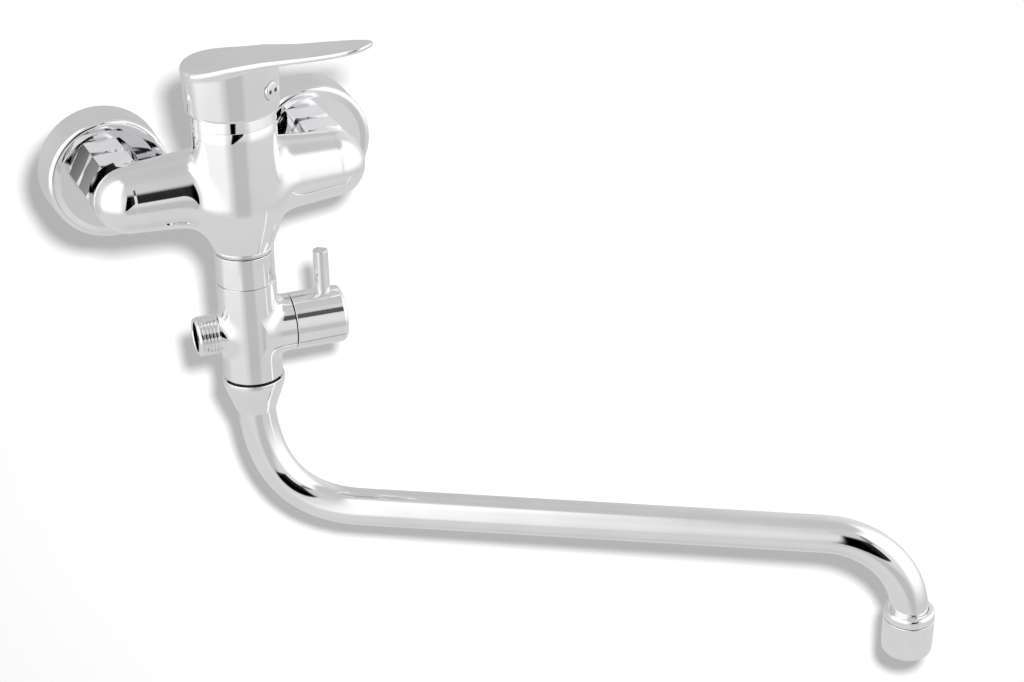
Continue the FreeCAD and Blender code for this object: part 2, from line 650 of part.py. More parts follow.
def handle_screw():
    """The grub screw that clamps the handle on the stem, with its hexagon socket."""
    start = STEM_SIDE / 2 + SLIDE_GAP
    screw = cylinder(SCREW_RADIUS - SLIDE_GAP, start, start + SCREW_LENGTH)
    screw = screw.cut(prism(2.5, 6, start + SCREW_LENGTH - 2.5, start + SCREW_LENGTH + 1))
    screw.rotate(V(0, 0, 0), V(1, 0, 0), 90)
    screw.translate(V(0, 0, SCREW_HEIGHT))
    return on_barrel(screw, LEVER_TURN)


def index_plug_blank():
    """The button's solid before the marks are let in, along +Z from the handle's axis."""
    face = SKIRT_TOP_RADIUS + PLUG_PROUD
    rim = PLUG_RADIUS - SLIDE_GAP
    bend = PLUG_ROUND * (1 - math.sqrt(0.5))
    return lathe([
        (0, face - PLUG_DEPTH), (rim, face - PLUG_DEPTH), (rim, face - PLUG_ROUND),
        (rim - PLUG_ROUND, face, rim - bend, face - bend), (0, face)])


def mark_blank(side):
    """One round colour mark, let into the face of the button."""
    face = SKIRT_TOP_RADIUS + PLUG_PROUD
    return cylinder(MARK_RADIUS, face - MARK_DEPTH, face + 1, side * MARK_SPREAD)


def on_index(shape):
    """Lay a Z piece along the lever's direction at the height of the grub screw."""
    shape.rotate(V(0, 0, 0), V(1, 0, 0), 90)
    shape.translate(V(0, 0, SCREW_HEIGHT))
    return on_barrel(shape, LEVER_TURN)


def index_plug():
    """The button that hides the grub screw."""
    return on_index(index_plug_blank().cut(mark_blank(-1)).cut(mark_blank(1)))


def index_mark(side):
    """The hot mark on the left or the cold mark on the right."""
    return on_index(mark_blank(side).common(index_plug_blank()))


def outlet_ring():
    """The thin trim ring under the body, with a groove round it."""
    top = OUTLET_FACE - 0.02
    low = OUTLET_FACE - RING_HEIGHT
    middle = (top + low) / 2
    return on_barrel(lathe([
        (G34_RADIUS + THREAD_GAP, low), (RING_RADIUS - 0.3, low), (RING_RADIUS, low + 0.3),
        (RING_RADIUS, middle - 0.25), (RING_RADIUS - 0.5, middle), (RING_RADIUS, middle + 0.25),
        (RING_RADIUS, top - 0.3), (RING_RADIUS - 0.3, top), (G34_RADIUS + THREAD_GAP, top)]))


def diverter_gasket():
    """The flat washer between the body's stub and the diverter."""
    return on_barrel(ring(FLANGE_RADIUS, OUTLET_BORE, FLANGE_TOP, STUB_END))


def diverter_collar():
    """The union nut of the diverter, round with four spanner flats at its foot."""
    top = OUTLET_FACE - RING_HEIGHT - JOINT_GAP
    low = COLLAR_BOTTOM
    collar = lathe([(0, low), (COLLAR_RADIUS - 0.3, low), (COLLAR_RADIUS, low + 0.3),
                    (COLLAR_RADIUS, top - 0.4), (COLLAR_RADIUS - 0.4, top), (0, top)])
    outside = cylinder(COLLAR_RADIUS + 1, low - 1, low + COLLAR_FLAT_HEIGHT)
    flats = prism(COLLAR_FLATS, 4, low - 2, low + COLLAR_FLAT_HEIGHT + 1)
    flats.rotate(V(0, 0, 0), V(0, 0, 1), 45)
    collar = collar.cut(outside.cut(flats))
    thread = cylinder(G34_RADIUS + THREAD_GAP, COLLAR_SHOULDER, top + 1)
    hole = cylinder(SPIGOT_RADIUS + SEAT_GAP, low - 1, COLLAR_SHOULDER + 1)
    return on_barrel(collar.cut(thread).cut(hole))


def diverter_body():
    """The cross casting: inlet spigot above, spout thread below, hose thread and valve boss."""
    top = COLLAR_BOTTOM - SEAT_GAP
    column = lathe([
        (0, DIVERTER_BOTTOM), (DIVERTER_RADIUS - 0.5, DIVERTER_BOTTOM),
        (DIVERTER_RADIUS, DIVERTER_BOTTOM + 0.5),
        (DIVERTER_RADIUS, top - 0.3), (DIVERTER_RADIUS - 0.3, top), (0, top)])
    spigot = cylinder(SPIGOT_RADIUS, top, FLANGE_TOP - FLANGE_HEIGHT)
    flange = cylinder(FLANGE_RADIUS, FLANGE_TOP - FLANGE_HEIGHT, FLANGE_TOP)
    stub = threaded_rod(G34_RADIUS, G34_PITCH, LOWER_STUB_END, DIVERTER_BOTTOM)
    upright = on_barrel(column.fuse([spigot, flange, stub]))
    boss = lathe([(0, 0), (CROSS_BOSS_RADIUS, 0), (CROSS_BOSS_RADIUS, BOSS_FACE - 0.3),
                  (CROSS_BOSS_RADIUS - 0.3, BOSS_FACE), (0, BOSS_FACE)])
    neck = cylinder(HOSE_NECK_RADIUS, -HOSE_END + HOSE_THREAD, 0)
    thread = threaded_rod(G12_RADIUS, G12_PITCH, -HOSE_END, -HOSE_END + HOSE_THREAD)
    solid = upright.fuse([on_cross(boss), on_cross(neck), on_cross(thread)]).removeSplitter()
    valve_end = BOSS_FACE + 1
    hollow = [
        on_cross(cylinder(VALVE_RADIUS + SLIDE_GAP, VALVE_SEAT, valve_end)),
        on_cross(cylinder(GLAND_RADIUS, VALVE_SHOULDER, valve_end)),
        on_cross(cylinder(HOSE_BORE, -HOSE_END - 1, VALVE_SEAT + 1)),
        on_barrel(cylinder(DIVERTER_BORE, CROSS_HEIGHT, FLANGE_TOP + 1)),
        on_barrel(cylinder(DIVERTER_BORE - 1.5, SWIVEL_TOP - 1, CROSS_HEIGHT)),
        on_barrel(cylinder(SWIVEL_BORE, LOWER_STUB_END - 1, SWIVEL_TOP))]
    for piece in hollow:
        solid = solid.cut(piece)
    return solid


def diverter_seal():
    """The rubber ring under the fixed ceramic disc."""
    return on_cross(ring(VALVE_DISC_RADIUS, VALVE_DISC_RADIUS - 2.2, VALVE_SEAT, VALVE_SEAT + VALVE_SEAL))


def diverter_fixed_disc():
    """The still ceramic disc with two ports."""
    low = VALVE_SEAT + VALVE_SEAL
    disc = cylinder(VALVE_DISC_RADIUS, low, low + VALVE_DISC)
    for side in (-1, 1):
        disc = disc.cut(cylinder(2.0, low - 1, low + VALVE_DISC + 1, side * 3.6))
    return on_cross(disc)


def diverter_moving_disc():
    """The turning ceramic disc with one half-round opening."""
    low = VALVE_SEAT + VALVE_SEAL + VALVE_DISC
    high = low + VALVE_DISC
    opening = cylinder(5.8, low - 1, high + 1).common(Part.makeBox(12, 12, 20, V(1.0, -6, low - 2)))
    return on_cross(cylinder(VALVE_DISC_RADIUS, low, high).cut(opening))


def diverter_spindle():
    """The spindle: a drive flange on the disc, and a shaft out to the knob."""
    low = VALVE_SEAT + VALVE_SEAL + 2 * VALVE_DISC
    flange = cylinder(VALVE_DISC_RADIUS - 0.6, low, low + SPINDLE_FLANGE)
    opening = cylinder(5.0, low - 1, low + SPINDLE_FLANGE + 1).common(
        Part.makeBox(12, 12, 20, V(SPINDLE_RADIUS, -6, low - 2)))
    shaft = cylinder(SPINDLE_RADIUS, low, SPINDLE_END)
    return on_cross(flange.cut(opening).fuse(shaft).removeSplitter())


def diverter_cartridge():
    """The sleeve that holds discs and spindle, with windows above and below."""
    low = VALVE_SEAT + VALVE_SEAL
    neck_start = VALVE_SHOULDER - 4.5
    sleeve = lathe([
        (VALVE_DISC_RADIUS + 0.1, low), (VALVE_RADIUS, low), (VALVE_RADIUS, VALVE_SHOULDER),
        (SPINDLE_RADIUS + SLIDE_GAP, VALVE_SHOULDER), (SPINDLE_RADIUS + SLIDE_GAP, neck_start),
        (VALVE_DISC_RADIUS + 0.1, neck_start)])
    window = Part.makeCylinder(VALVE_WINDOW_RADIUS, 30, V(-15, 0, VALVE_WINDOW), V(1, 0, 0))
    return on_cross(sleeve.cut(window))


def diverter_gland():
    """The gland nut that keeps the sleeve in the boss."""
    face = BOSS_FACE - GLAND_INSET
    nut = cylinder(GLAND_RADIUS, VALVE_SHOULDER, face)
    head = prism(GLAND_FLATS, 6, face, face + GLAND_HEAD)
    hole = cylinder(SPINDLE_RADIUS + SLIDE_GAP, VALVE_SHOULDER - 1, face + GLAND_HEAD + 1)
    return on_cross(nut.fuse(head).removeSplitter().cut(hole))


def diverter_knob():
    """The knob: a round shell with a hub on the spindle and a hole for the lever pin."""
    low = BOSS_FACE + KNOB_GAP
    bend = KNOB_ROUND * (1 - math.sqrt(0.5))
    shell = lathe([
        (KNOB_BORE, low), (KNOB_RADIUS - 0.4, low), (KNOB_RADIUS, low + 0.4),
        (KNOB_RADIUS, KNOB_END - KNOB_ROUND),
        (KNOB_RADIUS - KNOB_ROUND, KNOB_END, KNOB_RADIUS - bend, KNOB_END - bend),
        (0, KNOB_END), (0, KNOB_WEB), (KNOB_BORE, KNOB_WEB)])
    hub = cylinder(KNOB_HUB, BOSS_FACE - GLAND_INSET + GLAND_HEAD + KNOB_GAP, KNOB_WEB)
    shaft = cylinder(SPINDLE_RADIUS, 0, SPINDLE_END)
    pin = Part.makeCylinder(PIN_RADIUS, KNOB_RADIUS, V(-PIN_DEPTH, 0, PIN_PLACE), V(-1, 0, 0))
    return on_cross(shell.fuse(hub).removeSplitter().cut(shaft).cut(pin))


def diverter_pin():
    """The slim pin that turns the knob."""
    pin = lathe([(0, PIN_DEPTH), (PIN_RADIUS, PIN_DEPTH), (PIN_RADIUS, KNOB_RADIUS + PIN_RISE - 0.5),
                 (PIN_RADIUS - 0.5, KNOB_RADIUS + PIN_RISE), (0, KNOB_RADIUS + PIN_RISE)])
    pin.rotate(V(0, 0, 0), V(0, 1, 0), -90)
    pin.translate(V(0, 0, PIN_PLACE))
    return on_cross(pin)


def spout_nut():
    """The nut that holds the spout, a short rim above a long cone."""
    top = SPOUT_NUT_TOP
    rim = top - SPOUT_NUT_RIM
    low = SPOUT_NUT_BOTTOM
    thread = G34_RADIUS + THREAD_GAP
    hole = TUBE_RADIUS + SEAT_GAP
    middle_radius = (SPOUT_NUT_RADIUS + SPOUT_NUT_FOOT) / 2 + 0.3
    return on_barrel(lathe([
        (thread, top), (SPOUT_NUT_RADIUS - 1.4, top), (SPOUT_NUT_RADIUS, top - 1.2),
        (SPOUT_NUT_RADIUS, rim), (SPOUT_NUT_FOOT, low + 0.5, middle_radius, (rim + low) / 2),
        (SPOUT_NUT_FOOT - 0.3, low),
        (hole, low), (hole, SLIDE_RING_BOTTOM), (thread, SLIDE_RING_BOTTOM)]))


def spout_slide_ring():
    """The slippery ring that the spout turns on."""
    return on_barrel(ring(G34_RADIUS - 0.4, INSERT_SPIGOT + 1.3, SLIDE_RING_BOTTOM, SLIDE_RING_TOP))


def spout_insert():
    """The swivel end brazed into the spout, with two seal grooves and a collar."""
    top = SWIVEL_TOP - 1.5
    groove = SWIVEL_BORE - SLIDE_GAP - 2 * ORING_SECTION
    points = [(INSERT_BORE, top), (INSERT_RADIUS, top)]
    for height in seal_heights():
        points += [(INSERT_RADIUS, height + ORING_SECTION + 0.1), (groove, height + ORING_SECTION + 0.1),
                   (groove, height - ORING_SECTION - 0.1), (INSERT_RADIUS, height - ORING_SECTION - 0.1)]
    points += [(INSERT_RADIUS, SWIVEL_TOP_FLANGE), (SWIVEL_FLANGE_RADIUS, SWIVEL_TOP_FLANGE),
               (SWIVEL_FLANGE_RADIUS, SLIDE_RING_TOP + 0.02), (INSERT_SPIGOT, SLIDE_RING_TOP + 0.02),
               (INSERT_SPIGOT, SLIDE_RING_BOTTOM - 9), (INSERT_BORE, SLIDE_RING_BOTTOM - 9)]
    return on_barrel(lathe(points))


def seal_heights():
    """The heights of the two seals of the swivel."""
    top = SWIVEL_TOP - 1.5
    return [top - 4.5, top - 11.5]


def spout_orings():
    """The two rubber rings that seal the swivel."""
    middle = SWIVEL_BORE - SLIDE_GAP - ORING_SECTION
    rings = [Part.makeTorus(middle, ORING_SECTION, V(0, 0, height)) for height in seal_heights()]
    return on_barrel(Part.makeCompound(rings))


def spout_path(end_height):
    """The spout's centre line, straight runs joined by tangent arcs, in the plane x = 0."""
    top = V(0, 0, SLIDE_RING_TOP)
    bend_top = V(0, 0, SPOUT_DROP + FIRST_BEND)
    middle = math.sqrt(0.5)
    bend_middle = V(0, -FIRST_BEND * (1 - middle), SPOUT_DROP + FIRST_BEND * (1 - middle))
    run_start = V(0, -FIRST_BEND, SPOUT_DROP)
    run_end = V(0, -SPOUT_REACH + LAST_BEND, SPOUT_DROP)
    last_middle = V(0, -SPOUT_REACH + LAST_BEND * (1 - middle), SPOUT_DROP - LAST_BEND * (1 - middle))
    drop_start = V(0, -SPOUT_REACH, SPOUT_DROP - LAST_BEND)
    edges = [Part.makeLine(top, bend_top), Part.Arc(bend_top, bend_middle, run_start).toShape(),
             Part.makeLine(run_start, run_end)]
    if end_height < drop_start.z:
        edges += [Part.Arc(run_end, last_middle, drop_start).toShape(),
                  Part.makeLine(drop_start, V(0, -SPOUT_REACH, end_height))]
    else:
        edges.append(Part.Arc(run_end, last_middle, drop_start).toShape())
    return Part.Wire(edges)


def spout_sweep(radius, path):
    """A round bar of this radius along the spout's centre line."""
    circle = Part.Wire(Part.makeCircle(radius, V(0, 0, SLIDE_RING_TOP), V(0, 0, 1)))
    return path.makePipeShell([circle], True, False)


def spout_tube():
    """The long bent tube."""
    path = spout_path(SPOUT_END_TOP - SPOUT_SOCKET)
    tube = spout_sweep(TUBE_RADIUS, path).cut(spout_sweep(TUBE_RADIUS - TUBE_WALL, path))
    section = math.pi * (TUBE_RADIUS ** 2 - (TUBE_RADIUS - TUBE_WALL) ** 2)
    print("spout tube length", round(path.Length, 1), "section times length", round(section * path.Length, 1))
    return on_barrel(tube, SPOUT_TURN)


def at_spout_end(shape):
    """Stand a piece on the aerator's axis."""
    shape.translate(V(0, -SPOUT_REACH, 0))
    return on_barrel(shape, SPOUT_TURN)


def spout_end():
    """The threaded head brazed to the end of the spout."""
    top = SPOUT_END_TOP
    low = SPOUT_END_BOTTOM
    seat = top - SPOUT_SOCKET - 0.02
    bore = TUBE_RADIUS + SLIDE_GAP
    return at_spout_end(lathe([
        (TUBE_RADIUS - TUBE_WALL, seat), (bore, seat), (bore, top), (SPOUT_END_RADIUS - 2.2, top),
        (SPOUT_END_RADIUS, top - 2.2, SPOUT_END_RADIUS - 0.64, top - 0.64),
        (SPOUT_END_RADIUS, low), (M22_RADIUS, low), (M22_RADIUS, SPOUT_STUB_BOTTOM),
        (TUBE_RADIUS - TUBE_WALL, SPOUT_STUB_BOTTOM)]))


def aerator_gasket():
    """The flat washer above the aerator's insert."""
    low = SPOUT_STUB_BOTTOM - AERATOR_GASKET
    return at_spout_end(ring(M22_RADIUS, 8.4, low, SPOUT_STUB_BOTTOM))


def aerator_insert():
    """The plastic jet former, pierced in two rings."""
    top = SPOUT_STUB_BOTTOM - AERATOR_GASKET
    low = AERATOR_BOTTOM + AERATOR_LIP
    insert = cylinder(M22_RADIUS - SLIDE_GAP, low, top)
    for radius, count in ((AERATOR_RINGS[0], AERATOR_HOLES), (AERATOR_RINGS[1], 2 * AERATOR_HOLES)):
        for i in range(count):
            turn = 2 * math.pi * i / count
            place = radius * math.cos(turn), radius * math.sin(turn)
            insert = insert.cut(cylinder(AERATOR_HOLE_RADIUS, low - 1, top + 1, *place))
    return at_spout_end(insert)


def aerator_shell():
    """The chromed shell that screws over the insert."""
    top = SPOUT_END_BOTTOM - SEAT_GAP
    low = AERATOR_BOTTOM
    bend = AERATOR_ROUND * (1 - math.sqrt(0.5))
    bore = M22_RADIUS + THREAD_GAP
    return at_spout_end(lathe([
        (bore, top), (AERATOR_RADIUS - 0.4, top), (AERATOR_RADIUS, top - 0.4),
        (AERATOR_RADIUS, low + AERATOR_ROUND),
        (AERATOR_RADIUS - AERATOR_ROUND, low, AERATOR_RADIUS - bend, low + bend),
        (AERATOR_LIP_BORE, low), (AERATOR_LIP_BORE, low + AERATOR_LIP), (bore, low + AERATOR_LIP)]))


SIDED_PIECES = (eccentric_union, inlet_nut, inlet_gasket, inlet_tail)
SINGLE_PIECES = (
    mixer_body, cartridge_base, cartridge_seals, fixed_disc, moving_disc, disc_carrier, cartridge_rotor,
    pivot_pin, cartridge_stem, cartridge_housing, cartridge_nut, dome_ring, handle, handle_screw, index_plug,
    outlet_ring, diverter_gasket, diverter_collar, diverter_body, diverter_seal, diverter_fixed_disc,
    diverter_moving_disc, diverter_spindle, diverter_cartridge, diverter_gland, diverter_knob, diverter_pin,
    spout_nut, spout_slide_ring, spout_insert, spout_orings, spout_tube, spout_end, aerator_gasket,
    aerator_insert, aerator_shell)


def main():
    """Build every sub-part and write it to its own file."""
    os.makedirs("parts", exist_ok=True)
    for side, word in ((-1, "left"), (1, "right")):
        save("escutcheon_" + word, off_wall(escutcheon(), side * NUT_AXIS))
        for piece in SIDED_PIECES:
            save(piece.__name__ + "_" + word, piece(side))
    for piece in SINGLE_PIECES:
        save(piece.__name__, piece())
    save("hot_mark", index_mark(-1))
    save("cold_mark", index_mark(1))


main()
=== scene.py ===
# %% [markdown]
# A wall-mounted bath and shower mixer, dressed for a close look.
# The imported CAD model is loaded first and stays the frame: every new piece is
# built in metres in the same place, and each one rides on a CAD body, so that
# it turns and lifts with the joints.

# %% Load the frame
import json
import math
import bpy
import numpy as np
from mathutils import Matrix, Vector

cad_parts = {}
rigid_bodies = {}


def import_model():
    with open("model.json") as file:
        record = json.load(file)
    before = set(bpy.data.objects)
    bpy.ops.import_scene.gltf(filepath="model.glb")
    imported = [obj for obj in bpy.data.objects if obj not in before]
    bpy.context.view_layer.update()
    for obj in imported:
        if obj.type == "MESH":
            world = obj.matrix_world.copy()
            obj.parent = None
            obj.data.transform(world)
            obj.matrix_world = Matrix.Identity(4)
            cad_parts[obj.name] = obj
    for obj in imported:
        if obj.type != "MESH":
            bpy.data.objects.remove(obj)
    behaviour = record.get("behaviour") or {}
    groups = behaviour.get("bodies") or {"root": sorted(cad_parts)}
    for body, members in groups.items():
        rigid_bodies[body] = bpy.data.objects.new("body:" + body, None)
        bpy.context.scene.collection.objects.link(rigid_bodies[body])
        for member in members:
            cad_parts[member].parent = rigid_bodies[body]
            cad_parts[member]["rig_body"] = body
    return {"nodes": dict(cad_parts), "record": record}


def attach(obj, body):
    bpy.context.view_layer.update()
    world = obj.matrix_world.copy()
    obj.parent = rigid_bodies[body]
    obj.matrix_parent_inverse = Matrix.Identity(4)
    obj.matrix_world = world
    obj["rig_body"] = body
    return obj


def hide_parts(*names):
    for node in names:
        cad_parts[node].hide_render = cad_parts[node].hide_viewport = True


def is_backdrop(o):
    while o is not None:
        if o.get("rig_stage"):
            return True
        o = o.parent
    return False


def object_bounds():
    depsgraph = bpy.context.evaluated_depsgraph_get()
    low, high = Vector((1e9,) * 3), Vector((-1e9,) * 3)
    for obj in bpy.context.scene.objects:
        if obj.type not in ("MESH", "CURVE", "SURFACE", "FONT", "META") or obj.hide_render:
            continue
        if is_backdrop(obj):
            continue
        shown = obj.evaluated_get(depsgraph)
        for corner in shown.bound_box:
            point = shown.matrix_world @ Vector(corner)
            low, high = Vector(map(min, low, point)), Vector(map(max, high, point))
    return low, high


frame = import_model()
nodes = frame["nodes"]
cad_low, cad_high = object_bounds()
MM = 0.001

# %% [markdown]
# The camera stands in front, above and left of the mixer, about a metre away.
# Its heading turns from the wall's normal towards +X, its pitch is downwards,
# and a slight roll levels the tube as the picture shows it. A long lens keeps
# the two arms nearly parallel.

# %% Camera
CAMERA_PLACE = (-266.3, -973.6, 387.1)
HEADING = math.radians(24.55)
PITCH = math.radians(26.84)
ROLL = math.radians(0.80)
LENS = 70.69
SENSOR = 36.0

forward = Vector((math.sin(HEADING) * math.cos(PITCH), math.cos(HEADING) * math.cos(PITCH),
                  -math.sin(PITCH)))
level = Vector((math.cos(HEADING), -math.sin(HEADING), 0.0))
down = forward.cross(level)
right = level * math.cos(ROLL) + down * math.sin(ROLL)
below = down * math.cos(ROLL) - level * math.sin(ROLL)
camera_data = bpy.data.cameras.new("camera")
camera_data.lens = LENS
camera_data.sensor_width = SENSOR
camera_data.clip_start = 0.05
camera_data.clip_end = 50.0
camera = bpy.data.objects.new("camera", camera_data)
bpy.context.scene.collection.objects.link(camera)
turned = Matrix((right, -below, -forward)).transposed().to_4x4()
camera.matrix_world = Matrix.Translation(Vector(CAMERA_PLACE) * MM) @ turned
bpy.context.scene.camera = camera
bpy.context.scene.view_settings.view_transform = "Standard"
print("camera looks along", [round(v, 3) for v in forward])

# %% [markdown]
# Shader sums read best as sums. `Wire` wraps one output of a node, and its
# operators add Math nodes, so that a mask is written as a formula. Every other
# node comes from `Shader.node`, which sets the node's options first and then
# the values or links of its inputs.

# %% A small language for shaders
class Wire:
    """One output of a node, ready to be used in a formula."""

    def __init__(self, shader, socket):
        self.shader = shader
        self.socket = socket

    def __add__(self, other):
        return self.shader.math("ADD", self, other)

    def __radd__(self, other):
        return self.shader.math("ADD", other, self)

    def __sub__(self, other):
        return self.shader.math("SUBTRACT", self, other)

    def __rsub__(self, other):
        return self.shader.math("SUBTRACT", other, self)

    def __mul__(self, other):
        return self.shader.math("MULTIPLY", self, other)

    def __rmul__(self, other):
        return self.shader.math("MULTIPLY", other, self)

    def __truediv__(self, other):
        return self.shader.math("DIVIDE", self, other)

    def over(self, start, end):
        """0 below start, 1 above end, smooth between."""
        settings = {"interpolation_type": "SMOOTHSTEP"}
        return self.shader.node("ShaderNodeMapRange", settings, self, start, end, 0.0, 1.0)


def set_stops(ramp, stops):
    """Give a colour ramp its stops, each a place from 0 to 1 and a grey level."""
    ramp.interpolation = "EASE"
    while len(ramp.elements) < len(stops):
        ramp.elements.new(0.5)
    for element, (place, level) in zip(ramp.elements, stops):
        element.position = place
        element.color = (level, level, level, 1)


class Shader:
    """The node tree of one material or of the world."""

    def __init__(self, tree):
        self.tree = tree
        tree.nodes.clear()

    def node(self, kind, settings=None, *values, out=0, **named):
        made = self.tree.nodes.new(kind)
        for key, value in (settings or {}).items():
            if key == "stops":
                set_stops(made.color_ramp, value)
            else:
                setattr(made, key, value)
        for place, value in list(enumerate(values)) + list(named.items()):
            name = place if isinstance(place, int) else place.replace("_", " ")
            self.feed(made.inputs[name], value)
        return Wire(self, made.outputs[out] if len(made.outputs) else None)

    def math(self, operation, *values):
        return self.node("ShaderNodeMath", {"operation": operation}, *values)

    def feed(self, socket, value):
        if isinstance(value, Wire):
            self.tree.links.new(value.socket, socket)
        elif value is not None:
            socket.default_value = value

    def blend(self, factor, first, second):
        """Mix two colours, which are inputs 6 and 7 of the Mix node."""
        values = [factor, *[None] * 5, first, second]
        return self.node("ShaderNodeMix", {"data_type": "RGBA"}, *values, out=2)


def new_material(name):
    """A material with an empty tree, and its shader."""
    material = bpy.data.materials.new(name)
    material.use_nodes = True
    return material, Shader(material.node_tree)


print("shader language ready")

# %% [markdown]
# The mixer is photographed on white, with a soft shadow that falls to the
# lower left close behind it. One large pale sheet stands square to the view, a
# hand's width behind the middle of the wall plates, and takes that shadow. It
# is left out of reflections, because chrome is drawn by what it mirrors, and
# the world can be painted for that much more exactly than a sheet.

# %% Backdrop sheet
SHEET_DEPTH = 110.0
SHEET_SIZE = 3.4
SHEET_GREY = 0.80
SHEET_GLOW = 0.22
bpy.ops.object.select_all(action="DESELECT")
bpy.ops.mesh.primitive_plane_add(size=SHEET_SIZE)
backdrop = bpy.context.object
backdrop.name = "backdrop_sheet"
backdrop.data.transform(Matrix.Translation(forward * SHEET_DEPTH * MM) @ turned)
backdrop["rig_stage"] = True

paper, sheet = new_material("backdrop_paper")
for_camera = sheet.node("ShaderNodeLightPath", out="Is Camera Ray")
for_gloss = sheet.node("ShaderNodeLightPath", out="Is Glossy Ray")
for_shadow = sheet.node("ShaderNodeLightPath", out="Is Shadow Ray")
behind = sheet.node("ShaderNodeNewGeometry", out="Backfacing")
clear = sheet.math("MAXIMUM", for_gloss, for_shadow)
clear = sheet.math("MAXIMUM", clear, behind)
matt = sheet.node("ShaderNodeBsdfDiffuse", {}, (SHEET_GREY, SHEET_GREY, SHEET_GREY, 1))
glow = sheet.node("ShaderNodeEmission", {}, (1, 1, 1, 1), SHEET_GLOW * for_camera)
pale = sheet.node("ShaderNodeAddShader", {}, matt, glow)
gone = sheet.node("ShaderNodeBsdfTransparent")
sheet.node("ShaderNodeOutputMaterial", {}, sheet.node("ShaderNodeMixShader", {}, clear, pale, gone))
backdrop.data.materials.append(paper)
print("backdrop", SHEET_DEPTH, "mm behind the middle of the wall plates")

# %% [markdown]
# Polished chrome has almost no colour of its own. What the eye reads as its
# shape is what it mirrors: two bright panels left and right, greys that change
# softly from floor to ceiling, and a black slit between the panels, with a dark
# stand above it and a greyer strip over and under it. The world is painted that
# way by direction. Heading is the angle round the upright, 0 towards the camera
# and growing to the right, and height is the angle above the horizon, both in
# degrees. Each area is a mask with soft ends and a grey that it turns to.

# %% Studio world
towards = Vector((-forward.x, -forward.y, 0)).normalized()
GREYS = ((-90, 0.62), (-60, 0.69), (-36, 0.70), (-25, 0.66), (-8, 0.74), (10, 0.80), (50, 0.70),
         (66, 0.60), (90, 0.58))


def between(wire, rise, fall):
    """1 inside a band with soft ends, 0 outside."""
    return wire.over(*rise) * (1 - wire.over(*fall))


studio = bpy.data.worlds.new("studio")
bpy.context.scene.world = studio
studio.use_nodes = True
tent = Shader(studio.node_tree)
way = tent.node("ShaderNodeTexCoord", out="Generated")
ahead, aside, upward = (
    tent.node("ShaderNodeVectorMath", {"operation": "DOT_PRODUCT"}, way, axis, out=1)
    for axis in (tuple(towards), tuple(level), (0, 0, 1)))
heading = tent.math("ARCTAN2", aside, ahead) * math.degrees(1)
height = tent.math("ARCSINE", upward) * math.degrees(1)
left_panel = between(heading, (-104, -78), (-27, -5)) * between(height, (-34, -12), (62, 80))
right_panel = between(heading, (40, 56), (118, 150)) * between(height, (-24, 0), (50, 63))
behind_left = ((1 - between(heading, (-140, -100), (165, 180)))
               * between(height, (-36, -26), (50, 70)))
slit = ((heading - 0.2 * height).over(-2, 2) * (1 - heading.over(30.5, 31.5))
        * (1 - (heading - 1.39 * height).over(24.5, 27)) * between(height, (-19, -16), (26, 38)))
stand = between(heading - 0.2 * height, (25, 27), (31, 33)) * between(height, (27, 31), (44, 50))
under_slit = between(heading, (-8, 2), (30, 44)) * between(height, (-36, -28), (-16, -4))
over_slit = between(heading, (-6, 4), (36, 48)) * between(height, (28, 36), (56, 68))


def towards_level(light, mask, goal):
    """Move a grey level to a goal where the mask is 1."""
    return light + mask * (goal - light)


lowest, span = GREYS[0][0], GREYS[-1][0] - GREYS[0][0]
greys = [((place - lowest) / span, level) for place, level in GREYS]
light = tent.node("ShaderNodeValToRGB", {"stops": greys}, (height - lowest) / span)
for mask, goal in ((behind_left, 0.58), (left_panel, 1.22), (right_panel, 1.16), (under_slit, 0.54),
                   (over_slit, 0.64), (slit, 0.02 * heading.over(14, 24)), (stand, 0.09)):
    light = towards_level(light, mask, goal)
print("tent painted")

# %% [markdown]
# Only glossy rays see the painted studio. Camera rays see plain white, and
# diffuse rays a calm grey fill.

# %% Who sees the world
FILL = 0.28
seen = tent.node("ShaderNodeLightPath", out="Is Camera Ray")
glossy = tent.node("ShaderNodeLightPath", out="Is Glossy Ray")
unseen = FILL + glossy * (light - FILL)
shown = towards_level(unseen, seen, 1.0)
tent.node("ShaderNodeOutputWorld", {}, tent.node("ShaderNodeBackground", {}, shown, 1.0))
studio.cycles.sampling_method = "NONE"
print("world ready, fill", FILL)

# %% [markdown]
# The shadow comes from one soft lamp beside the camera, a little to its upper
# right. It stands as far from the object as the camera does, so the shadow
# follows the outline all along. A disk whose power is pi squared times the
# distance squared lights white paper to 1, and KEY_LEVEL sets it off from that.
# It is hidden from reflections, because the tent already draws them.

# %% Key lamp
KEY_RIGHT = 60.0
KEY_ABOVE = 75.0
KEY_SIZE = 0.07
KEY_LEVEL = 1.05
KEY_TARGET = Vector((60, -110, -80)) * MM
key_place = (Vector(CAMERA_PLACE) + KEY_RIGHT * right - KEY_ABOVE * below) * MM
bpy.ops.object.light_add(type="AREA")
key = bpy.context.object
key.name = "key_lamp"
key.data.shape = "DISK"
key.data.size = KEY_SIZE
key.data.energy = KEY_LEVEL * math.pi ** 2 * (key_place - KEY_TARGET).length_squared
key.matrix_world = Matrix.Translation(key_place) @ turned
key.visible_glossy = False
print("key lamp", round(key.data.energy, 1), "W")

# %% [markdown]
# Every finish is a small recipe on Object coordinates, so it stays on its
# piece. Plated metal gets a haze of slightly duller patches and a very slight
# unevenness of the cast or turned surface under the plating.

# %% Plated and bare metals
def tone(shader, place, scale, detail=2.0, stretch=(1, 1, 1)):
    """A soft noise between 0 and 1; stretch lengthens it along an axis."""
    laid = shader.node("ShaderNodeMapping", {}, Vector=place, Scale=stretch)
    return shader.node("ShaderNodeTexNoise", {}, Vector=laid, Scale=scale, Detail=detail)


